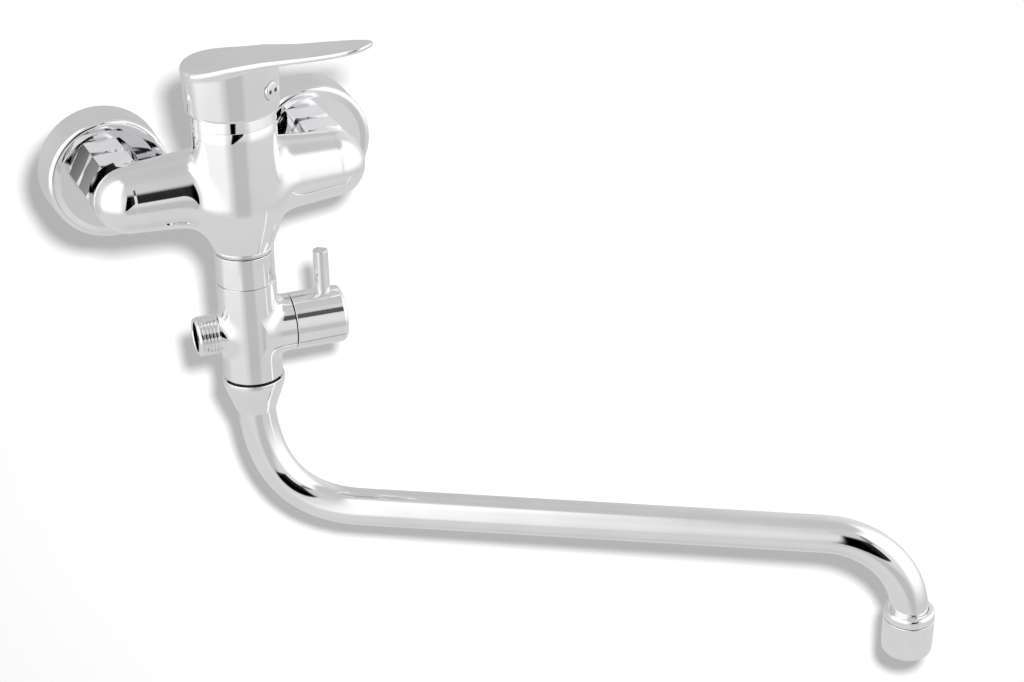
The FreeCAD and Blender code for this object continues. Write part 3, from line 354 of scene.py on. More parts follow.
def metal(name, dull, bright, rough, uneven, grain, stretch=(1, 1, 1), depth=2e-5):
    """A metal whose colour and roughness drift over the piece."""
    material, shader = new_material(name)
    place = shader.node("ShaderNodeTexCoord", out="Object")
    drift = tone(shader, place, grain)
    fine = tone(shader, place, grain * 14, 3.0, stretch)
    colour = shader.blend(drift.over(0.3, 0.7), (*dull, 1), (*bright, 1))
    roughness = rough + uneven * (0.6 * drift + 0.4 * fine)
    bump = shader.node("ShaderNodeBump", {}, Strength=0.25, Distance=depth,
                       Height=0.7 * drift + 0.3 * fine)
    surface = shader.node("ShaderNodeBsdfPrincipled", {}, Base_Color=colour, Metallic=1.0,
                          Roughness=roughness, Normal=bump)
    shader.node("ShaderNodeOutputMaterial", {}, surface)
    return material


CHROME_DULL = (0.900, 0.893, 0.905)
CHROME_BRIGHT = (0.935, 0.928, 0.940)
METALS = {
    "cast_chrome": ("cast_chrome", CHROME_DULL, CHROME_BRIGHT, 0.030, 0.035, 45, (1, 1, 1), 3e-5),
    "turned_chrome": ("turned_chrome", CHROME_DULL, CHROME_BRIGHT, 0.025, 0.040, 70, (1, 1, 5)),
    "tube_chrome": ("tube_chrome", CHROME_DULL, CHROME_BRIGHT, 0.030, 0.030, 38),
    "plated_plastic": ("plated_plastic", (0.86, 0.87, 0.88), (0.92, 0.92, 0.93), 0.06, 0.06, 80),
    "brass": ("machined_brass", (0.66, 0.49, 0.23), (0.80, 0.62, 0.33), 0.22, 0.16, 90, (1, 1, 8)),
    # Greased brass, made darker than the real threads as painted shade for the seams where it
    # shows.
    "greased_brass": ("greased_brass", (0.05, 0.04, 0.03), (0.11, 0.08, 0.05), 0.35, 0.25, 90),
    "steel": ("turned_steel", (0.52, 0.53, 0.55), (0.62, 0.63, 0.64), 0.26, 0.14, 120, (6, 1, 1)),
}
finishes = {finish: metal(*recipe) for finish, recipe in METALS.items()}
print("metals", sorted(finishes))

# %% [markdown]
# The parts inside are rubber, acetal and ceramic, and the button carries two
# printed dots. They are small, yet they show when the lever is lifted or from
# below the aerator, so they get their own grain too.

# %% Plastics, rubber and ceramic
def moulded(name, darker, lighter, rough, uneven, grain, depth, coat=0.0):
    """A moulded or fired surface with a fine grain."""
    material, shader = new_material(name)
    place = shader.node("ShaderNodeTexCoord", out="Object")
    drift = tone(shader, place, grain)
    fine = tone(shader, place, grain * 9, 4.0)
    colour = shader.blend(0.5 * drift + 0.5 * fine, (*darker, 1), (*lighter, 1))
    bump = shader.node("ShaderNodeBump", {}, Strength=0.4, Distance=depth, Height=fine)
    surface = shader.node("ShaderNodeBsdfPrincipled", {}, Base_Color=colour,
                          Roughness=rough + uneven * fine, Coat_Weight=coat, Normal=bump)
    shader.node("ShaderNodeOutputMaterial", {}, surface)
    return material


MOULDED = {
    "rubber": ("moulded_rubber", (0.025, 0.025, 0.028), (0.06, 0.06, 0.065), 0.55, 0.2, 150, 8e-5),
    "acetal": ("moulded_acetal", (0.80, 0.80, 0.77), (0.90, 0.90, 0.88), 0.34, 0.12, 120, 4e-5),
    "ceramic": ("lapped_ceramic", (0.88, 0.87, 0.83), (0.96, 0.95, 0.92), 0.16, 0.08, 200, 1e-5),
    "hot_red": ("hot_dot", (0.12, 0.006, 0.006), (0.18, 0.01, 0.01), 0.3, 0.1, 300, 1e-5, 0.1),
    "cold_blue": ("cold_dot", (0.005, 0.007, 0.02), (0.01, 0.012, 0.032), 0.3, 0.1, 300, 1e-5, 0.1),
}
for finish, recipe in MOULDED.items():
    finishes[finish] = moulded(*recipe)
print("finishes", len(finishes))

# %% [markdown]
# The CAD nodes that stay in view keep their meshes and take the finish of
# their slot in the record.

# %% Dress the CAD nodes
SLOT_FINISH = {"chrome": "turned_chrome", "chromed_plastic": "plated_plastic"}
slots = {row["node"]: row["material_slot"] for row in frame["record"]["subparts"]}
for name, node in nodes.items():
    finish = SLOT_FINISH.get(slots[name], slots[name])
    node.data.materials.clear()
    node.data.materials.append(finishes[finish])
print("dressed", len(nodes), "nodes")

# %% [markdown]
# Most parts of a mixer come off a lathe. `turned_piece` starts from a circle
# whose points are set on the half section, and spins it round the Z axis.
# `rounded` takes the sharpness off chosen corners of that section first,
# because on polished metal the small radius is what catches the light.

# %% Lathe work
def rounded(outline, radii, steps=6):
    """Replace corners of a closed outline, given by their number, by arcs."""
    result = []
    for i, corner in enumerate(outline):
        if i not in radii:
            result.append(corner)
            continue
        here = Vector(corner)
        before = (Vector(outline[i - 1]) - here).normalized()
        after = (Vector(outline[(i + 1) % len(outline)]) - here).normalized()
        half = before.angle(after) / 2
        reach = radii[i] / math.tan(half)
        middle = here + (before + after).normalized() * radii[i] / math.sin(half)
        start = here + before * reach - middle
        swing = start.angle_signed(here + after * reach - middle)
        result += [tuple(middle + Matrix.Rotation(-swing * j / steps, 2) @ start)
                   for j in range(steps + 1)]
    return result


def clean_shell():
    """In edit mode: merge doubles, drop loose bits and turn all faces outwards."""
    bpy.ops.mesh.select_all(action="SELECT")
    bpy.ops.mesh.remove_doubles(threshold=0.000002)
    bpy.ops.mesh.delete_loose(use_verts=True, use_edges=True, use_faces=False)
    bpy.ops.mesh.select_all(action="SELECT")
    bpy.ops.mesh.normals_make_consistent(inside=False)


def turned_piece(name, outline, steps=144):
    """Spin a closed outline of (radius, height) points in millimetres round Z."""
    bpy.ops.object.select_all(action="DESELECT")
    bpy.ops.mesh.primitive_circle_add(vertices=len(outline), radius=0.01)
    piece = bpy.context.object
    piece.name = piece.data.name = name
    for vertex, (radius, height) in zip(piece.data.vertices, outline):
        vertex.co = Vector((radius, 0, height)) * MM
    bpy.ops.object.mode_set(mode="EDIT")
    bpy.ops.mesh.select_all(action="SELECT")
    bpy.ops.mesh.spin(steps=steps, angle=2 * math.pi, center=(0, 0, 0), axis=(0, 0, 1))
    clean_shell()
    bpy.ops.object.mode_set(mode="OBJECT")
    return piece


print("rounded square", len(rounded([(0, 0), (4, 0), (4, 4), (0, 4)], {1: 1, 2: 1})), "points")

# %% [markdown]
# Each piece is made round the Z axis and then goes to its place within its
# mesh, so that its object stays at the origin as a CAD node does. Holes are cut
# with plain rods, as a drill would.

# %% Places and cuts
AXIS_Y = -62.0
BODY_MIDDLE = Vector((0, AXIS_Y, 0)) * MM
LEVER_TURN = math.radians(37.0)
SPOUT_TURN = math.radians(57.6)
CROSS_TURN = math.radians(4.5)
CROSS_HEIGHT = -78.6
BARREL = Matrix.Translation(BODY_MIDDLE)
CROSS = (Matrix.Translation(BODY_MIDDLE + Vector((0, 0, CROSS_HEIGHT * MM)))
         @ Matrix.Rotation(-CROSS_TURN, 4, "Z") @ Matrix.Rotation(math.pi / 2, 4, "Y"))


def off_wall(x):
    """Z becomes the distance from the wall."""
    return Matrix.Translation((x * MM, 0, 0)) @ Matrix.Rotation(math.pi / 2, 4, "X")


def pick(piece):
    """Select one piece and nothing else."""
    bpy.ops.object.select_all(action="DESELECT")
    piece.select_set(True)
    bpy.context.view_layer.objects.active = piece


def apply_all(piece):
    """Apply a piece's modifiers in their order."""
    pick(piece)
    for modifier in list(piece.modifiers):
        bpy.ops.object.modifier_apply(modifier=modifier.name)


def carve(piece, cutter, operation="DIFFERENCE"):
    """Cut a piece with a second one, which is then deleted."""
    cut = piece.modifiers.new("carve", "BOOLEAN")
    cut.operation = operation
    cut.object = cutter
    cut.solver = "EXACT"
    apply_all(piece)
    bpy.data.objects.remove(cutter)


def rod(radius, low, high, x=0.0, y=0.0, sides=96):
    """A plain upright rod, to cut holes or build up forms with."""
    bpy.ops.object.select_all(action="DESELECT")
    bpy.ops.mesh.primitive_cylinder_add(vertices=sides, radius=radius * MM, depth=(high - low) * MM,
                                        location=(x * MM, y * MM, (low + high) / 2 * MM))
    made = bpy.context.object
    made.data.transform(made.matrix_world)
    made.matrix_world = Matrix()
    return made


def moved(piece, matrix):
    """Shift a piece within its mesh, so that its object stays at the origin."""
    piece.data.transform(matrix)
    return piece


print("places ready")

# %% [markdown]
# A finished piece is smoothed except at real edges and rides on the body of
# the CAD node that it stands for, which is hidden. Weighted normals keep flat
# faces flat beside a rounded edge, which matters most on chrome.

# %% Polish and fit
def polish(piece, angle=32.0, weighted=True):
    """Smooth shading up to real edges."""
    pick(piece)
    bpy.ops.object.shade_smooth_by_angle(angle=math.radians(angle))
    if weighted:
        even = piece.modifiers.new("even", "WEIGHTED_NORMAL")
        even.keep_sharp = True
        apply_all(piece)
    return piece


def fit(piece, finish, slot, *stands_for):
    """Give a piece its finish and hang it on the body of the node it stands for."""
    piece.data.materials.clear()
    piece.data.materials.append(finishes[finish])
    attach(piece, nodes[stands_for[0]]["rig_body"])
    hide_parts(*stands_for)
    low = Vector(np.min([v.co for v in piece.data.vertices], axis=0)) / MM
    high = Vector(np.max([v.co for v in piece.data.vertices], axis=0)) / MM
    print(piece.name, "faces", len(piece.data.polygons), "from", [round(v, 1) for v in low],
          "to", [round(v, 1) for v in high])


def fit_chromed(piece, place, node, angle=32.0, weighted=True):
    """Put a turned and plated piece where it belongs."""
    fit(polish(moved(piece, place), angle, weighted), "turned_chrome", "chrome", node)


print("fitting ready,", len(finishes), "finishes")

# %% [markdown]
# The escutcheons are thin pressed cups that hide the holes in the tiles. The
# rim is rounded and the face behind it dips a little, so that a narrow bright
# ring runs all round.

# %% Escutcheons
SIDES = ((-1, "left"), (1, "right"))
NUT_AXIS = 55.0
ESCUTCHEON = [(31.4, 0), (32.6, 0), (31.75, 17.0), (31.6, 22.0), (26.0, 21.35), (13.62, 21.35),
              (13.62, 20.2), (25.6, 20.2), (29.6, 19.6), (30.4, 17.0)]
ESCUTCHEON_ROUNDS = {1: 0.4, 2: 12.0, 3: 2.6, 4: 6.0, 5: 0.3}
for side, word in SIDES:
    cup = turned_piece("escutcheon_cup_" + word, rounded(ESCUTCHEON, ESCUTCHEON_ROUNDS, 9))
    fit_chromed(cup, off_wall(side * NUT_AXIS), "escutcheon_" + word)

# %% [markdown]
# The union nuts are hexagons whose corners are turned off at both ends. Such a
# nut is a hexagonal bar cut by a turned double cone, and its hole is bored
# last.

# %% Union nuts
NUT_FLATS = 30.0
NUT_BACK = 22.4
NUT_FRONT = 40.0
NUT_FACE = 14.4
NUT_CHAMFER = 1.6
NUT_LEDGE = 37.6
THREAD_BORE = 13.32
TAIL_BORE = 10.75
corner = NUT_FLATS / 2 / math.cos(math.pi / 6)
for side, word in SIDES:
    nut = rod(corner, NUT_BACK, NUT_FRONT, sides=6)
    nut.name = nut.data.name = "union_nut_" + word
    moved(nut, Matrix.Rotation(math.radians(30), 4, "Z"))
    shape = [(0, NUT_BACK), (NUT_FACE, NUT_BACK), (corner + 0.01, NUT_BACK + NUT_CHAMFER),
             (corner + 0.01, NUT_FRONT - NUT_CHAMFER), (NUT_FACE, NUT_FRONT), (0, NUT_FRONT)]
    carve(nut, turned_piece("nut_shape", rounded(shape, {1: 0.4, 4: 0.4}, 3), 96), "INTERSECT")
    carve(nut, rod(THREAD_BORE, NUT_BACK - 1, NUT_LEDGE))
    carve(nut, rod(TAIL_BORE, NUT_BACK, NUT_FRONT + 1))
    edge = nut.modifiers.new("edge", "BEVEL")
    edge.width = 0.35 * MM
    edge.segments = 3
    edge.limit_method = "ANGLE"
    edge.angle_limit = math.radians(35)
    apply_all(nut)
    fit_chromed(nut, off_wall(side * NUT_AXIS), "inlet_nut_" + word)

# %% [markdown]
# The body is one casting: two arms flow into the barrel with soft fillets,
# broad in front and below. Boolean joins would leave hard creases there, and
# chrome shows every one. So the plain forms are blocked out with primitives
# and fused by a voxel remesh, and then every point slides on to one smooth
# surface: the distance to each form, blended where two of them meet.

# %% Smooth surfaces from blended distances
def fuse(name, parts, voxel):
    """Join overlapping forms into one skin of even faces."""
    bpy.ops.object.select_all(action="DESELECT")
    for part in parts:
        part.select_set(True)
    bpy.context.view_layer.objects.active = parts[0]
    bpy.ops.object.join()
    piece = bpy.context.object
    piece.name = piece.data.name = name
    piece.data.transform(piece.matrix_world)
    piece.matrix_world = Matrix()
    skin = piece.modifiers.new("skin", "REMESH")
    skin.mode = "VOXEL"
    skin.voxel_size = voxel * MM
    apply_all(piece)
    return piece


def points_of(piece):
    """The points of a piece in millimetres, one row each."""
    flat = np.empty(len(piece.data.vertices) * 3)
    piece.data.vertices.foreach_get("co", flat)
    return flat.reshape(-1, 3) / MM


def blended(first, second, width):
    """The nearer of two distances, with a soft fillet of about this width."""
    near = np.maximum(width - np.abs(first - second), 0) / width
    return np.minimum(first, second) - near ** 3 * width / 6


def trimmed(first, second, radius):
    """The part common to two forms, its edge rounded with this radius."""
    inside = np.minimum(np.maximum(first, second), -radius)
    return inside + np.hypot(np.maximum(first + radius, 0), np.maximum(second + radius, 0))


print("a blend of 6 mm fills a corner by", -round(float(blended(0.0, 0.0, 6.0)), 2), "mm")

# %% [markdown]
# A point finds the surface by going down the slope of the distance, a short
# way at a time. A little smoothing between the rounds spreads the faces evenly.

# %% Points slid on to a surface
def slope_of(surface, points, step=0.05):
    """How the distance changes along each axis."""
    columns = [surface(points + shift) - surface(points - shift) for shift in step * np.eye(3)]
    return np.stack(columns, 1) / (2 * step)


def settle(piece, surface, rounds, step=0.04, reach=0.7):
    """Slide every point of a piece on to the surface, and say how far off they end."""
    points = points_of(piece)
    for _ in range(rounds):
        away = surface(points)
        slope = np.stack([surface(points + shift) - away for shift in step * np.eye(3)], 1) / step
        size = np.maximum((slope ** 2).sum(1), 0.3)
        points -= np.clip(away / size, -reach, reach)[:, None] * slope
    piece.data.vertices.foreach_set("co", (points * MM).ravel())
    piece.data.update()
    return float(np.abs(surface(points)).mean())


def relax(piece, times):
    """Even out the faces a little."""
    calm = piece.modifiers.new("calm", "SMOOTH")
    calm.factor = 0.5
    calm.iterations = times
    apply_all(piece)


def skin_on(piece, surface):
    """Settle, relax and settle again."""
    settle(piece, surface, 8)
    relax(piece, 6)
    settle(piece, surface, 4)
    relax(piece, 3)
    print(piece.name, "mean distance to its surface in mm:", round(settle(piece, surface, 4), 4))


print("rounds of sliding ready")

# %% [markdown]
# A cut face has to stay flat while the skin round it stays smooth. So a corner
# takes the surface's own normal only where it lies on the surface, which lets
# the reflections run without a ripple, and its face's normal everywhere else.

# %% Plane cuts and shading
def plane_cut(piece, place, normal):
    """Cut off what lies beyond a plane, in millimetres, and close the cut."""
    pick(piece)
    bpy.ops.object.mode_set(mode="EDIT")
    bpy.ops.mesh.select_all(action="SELECT")
    bpy.ops.mesh.bisect(plane_co=Vector(place) * MM, plane_no=normal, use_fill=True,
                        clear_outer=True)
    bpy.ops.object.mode_set(mode="OBJECT")


def shade_by(piece, surface, closeness=0.06, turn=0.80):
    """Give corners on the surface the surface's own normal, and others their face's."""
    mesh = piece.data
    mesh.shade_smooth()
    points = points_of(piece)
    slope = slope_of(surface, points)
    slope /= np.maximum(np.linalg.norm(slope, axis=1), 1e-6)[:, None]
    on_it = np.abs(surface(points)) < closeness
    corners = np.empty(len(mesh.loops), np.int32)
    mesh.loops.foreach_get("vertex_index", corners)
    flat = np.empty(len(mesh.polygons) * 3)
    mesh.polygons.foreach_get("normal", flat)
    sizes = np.empty(len(mesh.polygons), np.int32)
    mesh.polygons.foreach_get("loop_total", sizes)
    facing = np.repeat(flat.reshape(-1, 3), sizes, axis=0)
    agree = (slope[corners] * facing).sum(1) > turn
    smooth = (on_it[corners] & agree)[:, None]
    mesh.normals_split_custom_set(np.where(smooth, slope[corners], facing).tolist())


print("cuts and shading ready")

# %% [markdown]
# The barrel narrows below in a soft curve and has a slight shoulder under the
# dome ring. Each arm tapers outwards to a round elbow, whose leg goes back to
# the wall. The fillet between arm and barrel is broader below than above. On the
# taper the formula overstates the distance, which TAPER_EASE makes up for.

# %% Body, blocked out
ARM_Y = -51.0
ARM_END = 53.8
ARM_TAPER = 0.0762
BARREL_RADIUS = 21.4
BARREL_TOP = 36.4
FOOT_RADIUS = 13.5
ELBOW_RADIUS = 17.3
LEG_RADIUS = 16.4
OUTLET_FACE = -31.0
TAPER_TOP, TAPER_LENGTH, TAPER_DEPTH = -3, 28, 6.1
SHOULDER_FOOT, SHOULDER_LENGTH, SHOULDER_DEPTH = 31, 5.4, 0.7
TAPER_EASE = 0.96


def body_surface(points):
    """Distance to barrel, arms and legs, blended."""
    x, y, z = points.T
    taper = np.clip((TAPER_TOP - z) / TAPER_LENGTH, 0, 1.15)
    shoulder = np.clip((z - SHOULDER_FOOT) / SHOULDER_LENGTH, 0, 1.3)
    barrel = np.hypot(x, y - AXIS_Y) - BARREL_RADIUS
    barrel = barrel + TAPER_DEPTH * taper ** 1.8 + SHOULDER_DEPTH * shoulder ** 2
    along = np.minimum(np.sqrt(x * x + 36), ARM_END)
    beyond = np.maximum(np.abs(x) - ARM_END, 0)
    arm = np.sqrt((y - ARM_Y) ** 2 + z * z + beyond ** 2) - BARREL_RADIUS + ARM_TAPER * along
    leg = np.maximum(np.hypot(np.abs(x) - NUT_AXIS, z) - LEG_RADIUS, ARM_Y - y)
    width = 9 + 8 / (1 + np.exp((z + 2) / 4))
    return blended(blended(arm, leg, 2.0), barrel * TAPER_EASE, width)


def cone(first, second, length, place, turn=0.0):
    """A cut cone that stands upright, or is turned about Y."""
    bpy.ops.object.select_all(action="DESELECT")
    bpy.ops.mesh.primitive_cone_add(vertices=96, radius1=first * MM, radius2=second * MM,
                                    depth=length * MM, location=[v * MM for v in place],
                                    rotation=(0, turn, 0))
    return bpy.context.object


blocks = [rod(BARREL_RADIUS, -16, BARREL_TOP + 4, 0, AXIS_Y),
          cone(FOOT_RADIUS, BARREL_RADIUS, 19, (0, AXIS_Y, -25.5))]
for side in (-1, 1):
    blocks.append(cone(BARREL_RADIUS, ELBOW_RADIUS, ARM_END, (side * ARM_END / 2, ARM_Y, 0),
                       side * math.pi / 2))
    bpy.ops.object.select_all(action="DESELECT")
    bpy.ops.mesh.primitive_uv_sphere_add(segments=96, ring_count=48, radius=ELBOW_RADIUS * MM,
                                         location=(side * ARM_END * MM, ARM_Y * MM, 0))
    blocks.append(bpy.context.object)
    blocks.append(moved(rod(LEG_RADIUS, 37.5, 51), off_wall(side * NUT_AXIS)))
body = fuse("mixer_casting", blocks, 0.85)
skin_on(body, body_surface)
plane_cut(body, (0, 0, BARREL_TOP), (0, 0, 1))
plane_cut(body, (0, 0, OUTLET_FACE), (0, 0, -1))
print("skin", len(body.data.polygons), "faces")

# %% [markdown]
# The real casting is hollow: a cavity for the cartridge from above, a bore to
# the outlet below, and a waterway in each arm that ends at the tail of the
# union. The nuts turn in a spot face in the back of each arm. These are cut
# last, so that nothing of the moving cartridge lies inside metal.

# %% Body, hollowed
CAVITY = ((17.6, 10, BARREL_TOP + 1), (19.1, 33, BARREL_TOP + 1), (9.0, -32, 8))
ARM_HOLES = ((18.1, 20, 40.3), (10.4, 39, 49.3))
for hole in CAVITY:
    carve(body, moved(rod(*hole), BARREL))
for side in (-1, 1):
    for hole in ARM_HOLES:
        carve(body, moved(rod(*hole), off_wall(side * NUT_AXIS)))
shade_by(body, body_surface)
fit(body, "cast_chrome", "chrome", "mixer_body")

# %% [markdown]
# The threaded stub under the body reaches down into the collar. Only a thin
# line of it shows, in the seam above the collar. Its colour is greased brass
# made darker still, as painted shade for that seam. It is turned as a plain
# lathe part with its own thread grooves.

# %% Outlet stub
THREAD_RADIUS = 13.22
THREAD_ROOT = 12.06
THREAD_PITCH = 1.814


def grooves(high, low, crest, root, pitch):
    """The zigzag half section of a thread, from its top down."""
    points = []
    place = high
    while place - pitch > low:
        points += [(crest, place), (crest, place - 0.25 * pitch), (root, place - 0.62 * pitch)]
        place -= pitch
    return points + [(crest, place), (crest, low)]


stub = [(9.0, OUTLET_FACE), (THREAD_ROOT, OUTLET_FACE), (THREAD_ROOT, -32.4)]
stub += grooves(-32.6, -42.0, THREAD_RADIUS, THREAD_ROOT, THREAD_PITCH) + [(9.0, -42.0)]
stub = turned_piece("outlet_stub", stub, 96)
polish(moved(stub, BARREL), 20, False)
fit(stub, "greased_brass", "brass", "mixer_body")

# %% [markdown]
# A thin domed ring closes the gap between barrel and handle. It is a part of
# a ball about the lever's pivot, so the skirt of the handle can tip over it.

# %% Dome ring
PIVOT_HEIGHT = 38.0
DOME_TOP = 45.0
DOME_ROOF = 43.8
DOME_RADIUS = 21.4
DOME_INSIDE = 20.2


def cap(radius, low, high, steps):
    """Points of a ball about the pivot, from one height to another."""
    heights = [low + (high - low) * i / steps for i in range(steps + 1)]
    return [(math.sqrt(radius ** 2 - (z - PIVOT_HEIGHT) ** 2), z) for z in heights]


dome = [(DOME_INSIDE, 36.6), (21.1, 36.6), (DOME_RADIUS, 36.9)]
dome += cap(DOME_RADIUS, 42.6, DOME_TOP, 6) + [(15.0, DOME_TOP), (15.0, DOME_ROOF)]
dome += cap(DOME_INSIDE, DOME_ROOF, PIVOT_HEIGHT, 6)
fit_chromed(turned_piece("dome_cap", dome), BARREL, "dome_ring")

# %% [markdown]
# The handle is a skirt whose wall runs on upwards into a flat lever. Seen from
# above, the lever leaves the skirt as a broad shoulder, keeps an even width
# and ends in a full round tip. Its top is slightly crowned across and rises in
# one soft S-line. The outline comes from a list of half widths, through which
# Blender draws a fair curve.

# %% Handle, its lines
SKIRT_BOTTOM = 42.6
SKIRT_TOP = 67.3
LEVER_TIP = 81.5
LEVER_WAY = np.array([math.sin(LEVER_TURN), -math.cos(LEVER_TURN)])
LEVER_SIDE = np.array([math.cos(LEVER_TURN), math.sin(LEVER_TURN)])
RISE_STOPS = np.array([-60.0, -18.0, 0.0, 95.0])
RISE_SLOPES = np.array([0.0, 0.0, 0.2255, 0.2255])
HALF_WIDTHS = [(-6, 23.0), (0, 23.4), (6, 23.1), (10, 22.2), (14, 20.9), (18, 19.6), (24, 17.95),
               (32, 15.9), (40, 15.3), (48, 14.8), (56, 14.2), (62, 13.5), (68, 12.3), (73, 10.7),
               (77, 8.7), (79.7, 6.3), (81.1, 3.4), (LEVER_TIP, 0)]
risen = np.diff(RISE_STOPS) * (RISE_SLOPES[1:] + RISE_SLOPES[:-1]) / 2
reached = np.concatenate([[0], np.cumsum(risen)])


def top_height(along):
    """The handle's top: flat behind, an S over the front, straight to the tip."""
    i = np.clip(np.searchsorted(RISE_STOPS, along) - 1, 0, len(RISE_STOPS) - 2)
    part = along - RISE_STOPS[i]
    bend = (RISE_SLOPES[i + 1] - RISE_SLOPES[i]) / (RISE_STOPS[i + 1] - RISE_STOPS[i])
    return SKIRT_TOP + reached[i] + RISE_SLOPES[i] * part + bend * part ** 2 / 2


def mesh_of(curve):
    """The mesh that a curve draws."""
    holder = bpy.data.objects.new(curve.name, curve)
    bpy.context.scene.collection.objects.link(holder)
    bpy.context.view_layer.update()
    drawn = holder.evaluated_get(bpy.context.evaluated_depsgraph_get())
    mesh = bpy.data.meshes.new_from_object(drawn)
    bpy.data.objects.remove(holder)
    return mesh


def fair_line(points):
    """A smooth line through points, drawn as a Bezier curve with automatic handles."""
    curve = bpy.data.curves.new("line", "CURVE")
    curve.dimensions = "3D"
    curve.resolution_u = 6
    spline = curve.splines.new("BEZIER")
    spline.bezier_points.add(len(points) - 1)
    for knot, (a, b) in zip(spline.bezier_points, points):
        knot.co = (a, b, 0)
        knot.handle_left_type = knot.handle_right_type = "AUTO"
    return np.array([v.co[:2] for v in mesh_of(curve).vertices])


edge_line = fair_line(HALF_WIDTHS + [(a, -b) for a, b in HALF_WIDTHS[-2::-1]])
print("lever outline", len(edge_line), "points, tip at", round(float(top_height(LEVER_TIP)), 1))

# %% [markdown]
# How far a point lies from the lever's outline is slow to work out, so it is
# charted once on a grid and read off that from then on.

# %% Handle, its outline charted
def outline_distance(outline, along, across):
    """Signed distance to a closed outline seen from above, negative inside."""
    here = np.stack([along, across], 1)
    nearest = np.full(len(here), 1e9)
    inside = np.zeros(len(here), bool)
    for start, end in zip(outline, np.roll(outline, -1, axis=0)):
        run = end - start
        part = np.clip(((here - start) @ run) / (run @ run), 0, 1)
        nearest = np.minimum(nearest, ((here - start - part[:, None] * run) ** 2).sum(1))
        crosses = (start[1] > here[:, 1]) != (end[1] > here[:, 1])
        if run[1] != 0:
            inside ^= crosses & (here[:, 0] < start[0] + run[0] * (here[:, 1] - start[1]) / run[1])
    return np.where(inside, -1, 1) * np.sqrt(nearest)


CHART_STEP = 0.4
chart_along, chart_across = np.arange(-10, 88, CHART_STEP), np.arange(-32, 32, CHART_STEP)
grid = np.meshgrid(chart_along, chart_across, indexing="ij")
chart = outline_distance(edge_line, grid[0].ravel(), grid[1].ravel()).reshape(grid[0].shape)


def charted(along, across):
    """The outline's distance, read between the points of the chart."""
    i = np.clip((along - chart_along[0]) / CHART_STEP, 0, len(chart_along) - 1.001)
    j = np.clip((across - chart_across[0]) / CHART_STEP, 0, len(chart_across) - 1.001)
    a, b = i.astype(int), j.astype(int)
    i, j = i - a, j - b
    near = chart[a, b] * (1 - j) + chart[a, b + 1] * j
    return near * (1 - i) + (chart[a + 1, b] * (1 - j) + chart[a + 1, b + 1] * j) * i


print("outline charted at", chart.size, "points")

# %% [markdown]
# The handle is again a blended surface: the skirt's cone and the underside of
# the lever meet in a small fillet, and both are trimmed by the same top. That
# top edge is well rounded behind and gets tighter towards the lever.

# %% Handle, its surface
LEVER_THICKNESS = 3.3
TIP_THICKNESS = 2.5
CROWN = 0.9
CROWN_REACH = 23
SKIRT_RADIUS = 23.3
SKIRT_FLARE = 0.045
UNDER_ROUND = 1.1
RIM_ROUND = 1.5
AXIS = np.array([0.0, AXIS_Y])


def handle_surface(points):
    """Distance to the handle's outer skin."""
    flat = points[:, :2] - AXIS
    along, across, z = flat @ LEVER_WAY, flat @ LEVER_SIDE, points[:, 2]
    top = top_height(along) - CROWN * (across / CROWN_REACH) ** 2
    lean = np.sqrt(1 + np.interp(along, RISE_STOPS, RISE_SLOPES) ** 2)
    skirt = np.hypot(along, across) - SKIRT_RADIUS - SKIRT_FLARE * (z - SKIRT_BOTTOM)
    thick = np.interp(along, [24, 81], [LEVER_THICKNESS, TIP_THICKNESS])
    lever = np.where(along > -9, charted(along, across), 30.0)
    lever = trimmed(lever, (top - thick - z) / lean, UNDER_ROUND)
    round_top = np.interp(along, [-10, 4, 22, 40], [2.6, 2.0, 1.2, 1.0])
    shape = trimmed(blended(skirt, lever, 3.0), (z - top) / lean, round_top)
    return trimmed(shape, SKIRT_BOTTOM - z, RIM_ROUND)


print("handle surface ready, lever", LEVER_THICKNESS, "to", TIP_THICKNESS, "mm thick")

# %% [markdown]
# Three rough forms are enough to start from: a cone for the skirt, a slab along
# the lever, and a wide rod under the top that fills the groove between them.

# %% Handle, blocked out
SLAB_START = -5.0
blocks = [cone(SKIRT_RADIUS, SKIRT_RADIUS + 1.1, SKIRT_TOP - SKIRT_BOTTOM,
               (0, AXIS_Y, (SKIRT_TOP + SKIRT_BOTTOM) / 2))]
bpy.ops.object.select_all(action="DESELECT")
bpy.ops.mesh.primitive_grid_add(x_subdivisions=40, y_subdivisions=2, size=1)
slab = bpy.context.object
widths = np.array(HALF_WIDTHS)
for vertex in slab.data.vertices:
    along = SLAB_START + (LEVER_TIP - SLAB_START) * (vertex.co.x + 0.5)
    across = 2 * vertex.co.y * np.interp(along, widths[:, 0], widths[:, 1])
    flat = AXIS + along * LEVER_WAY + across * LEVER_SIDE
    vertex.co = Vector((*flat, top_height(along))) * MM
thicken = slab.modifiers.new("thicken", "SOLIDIFY")
thicken.thickness = LEVER_THICKNESS * MM
thicken.offset = -1 if slab.data.polygons[0].normal.z > 0 else 1
apply_all(slab)
blocks.append(slab)
filler = rod(24.0, 60, 73.5, 0, AXIS_Y)
for vertex in filler.data.vertices:
    if vertex.co.z > 70 * MM:
        flat = np.array(vertex.co[:2]) / MM - AXIS
        vertex.co.z = (top_height(flat @ LEVER_WAY) - 1.0) * MM
blocks.append(filler)
handle = fuse("handle_casting", blocks, 0.55)
skin_on(handle, handle_surface)
print("handle skin", len(handle.data.polygons), "faces")

# %% [markdown]
# Inside, the skirt is hollow up to its roof, with a boss in the middle that
# sits on the square stem. A hole in front leads to the grub screw, and the
# button sits in its mouth.

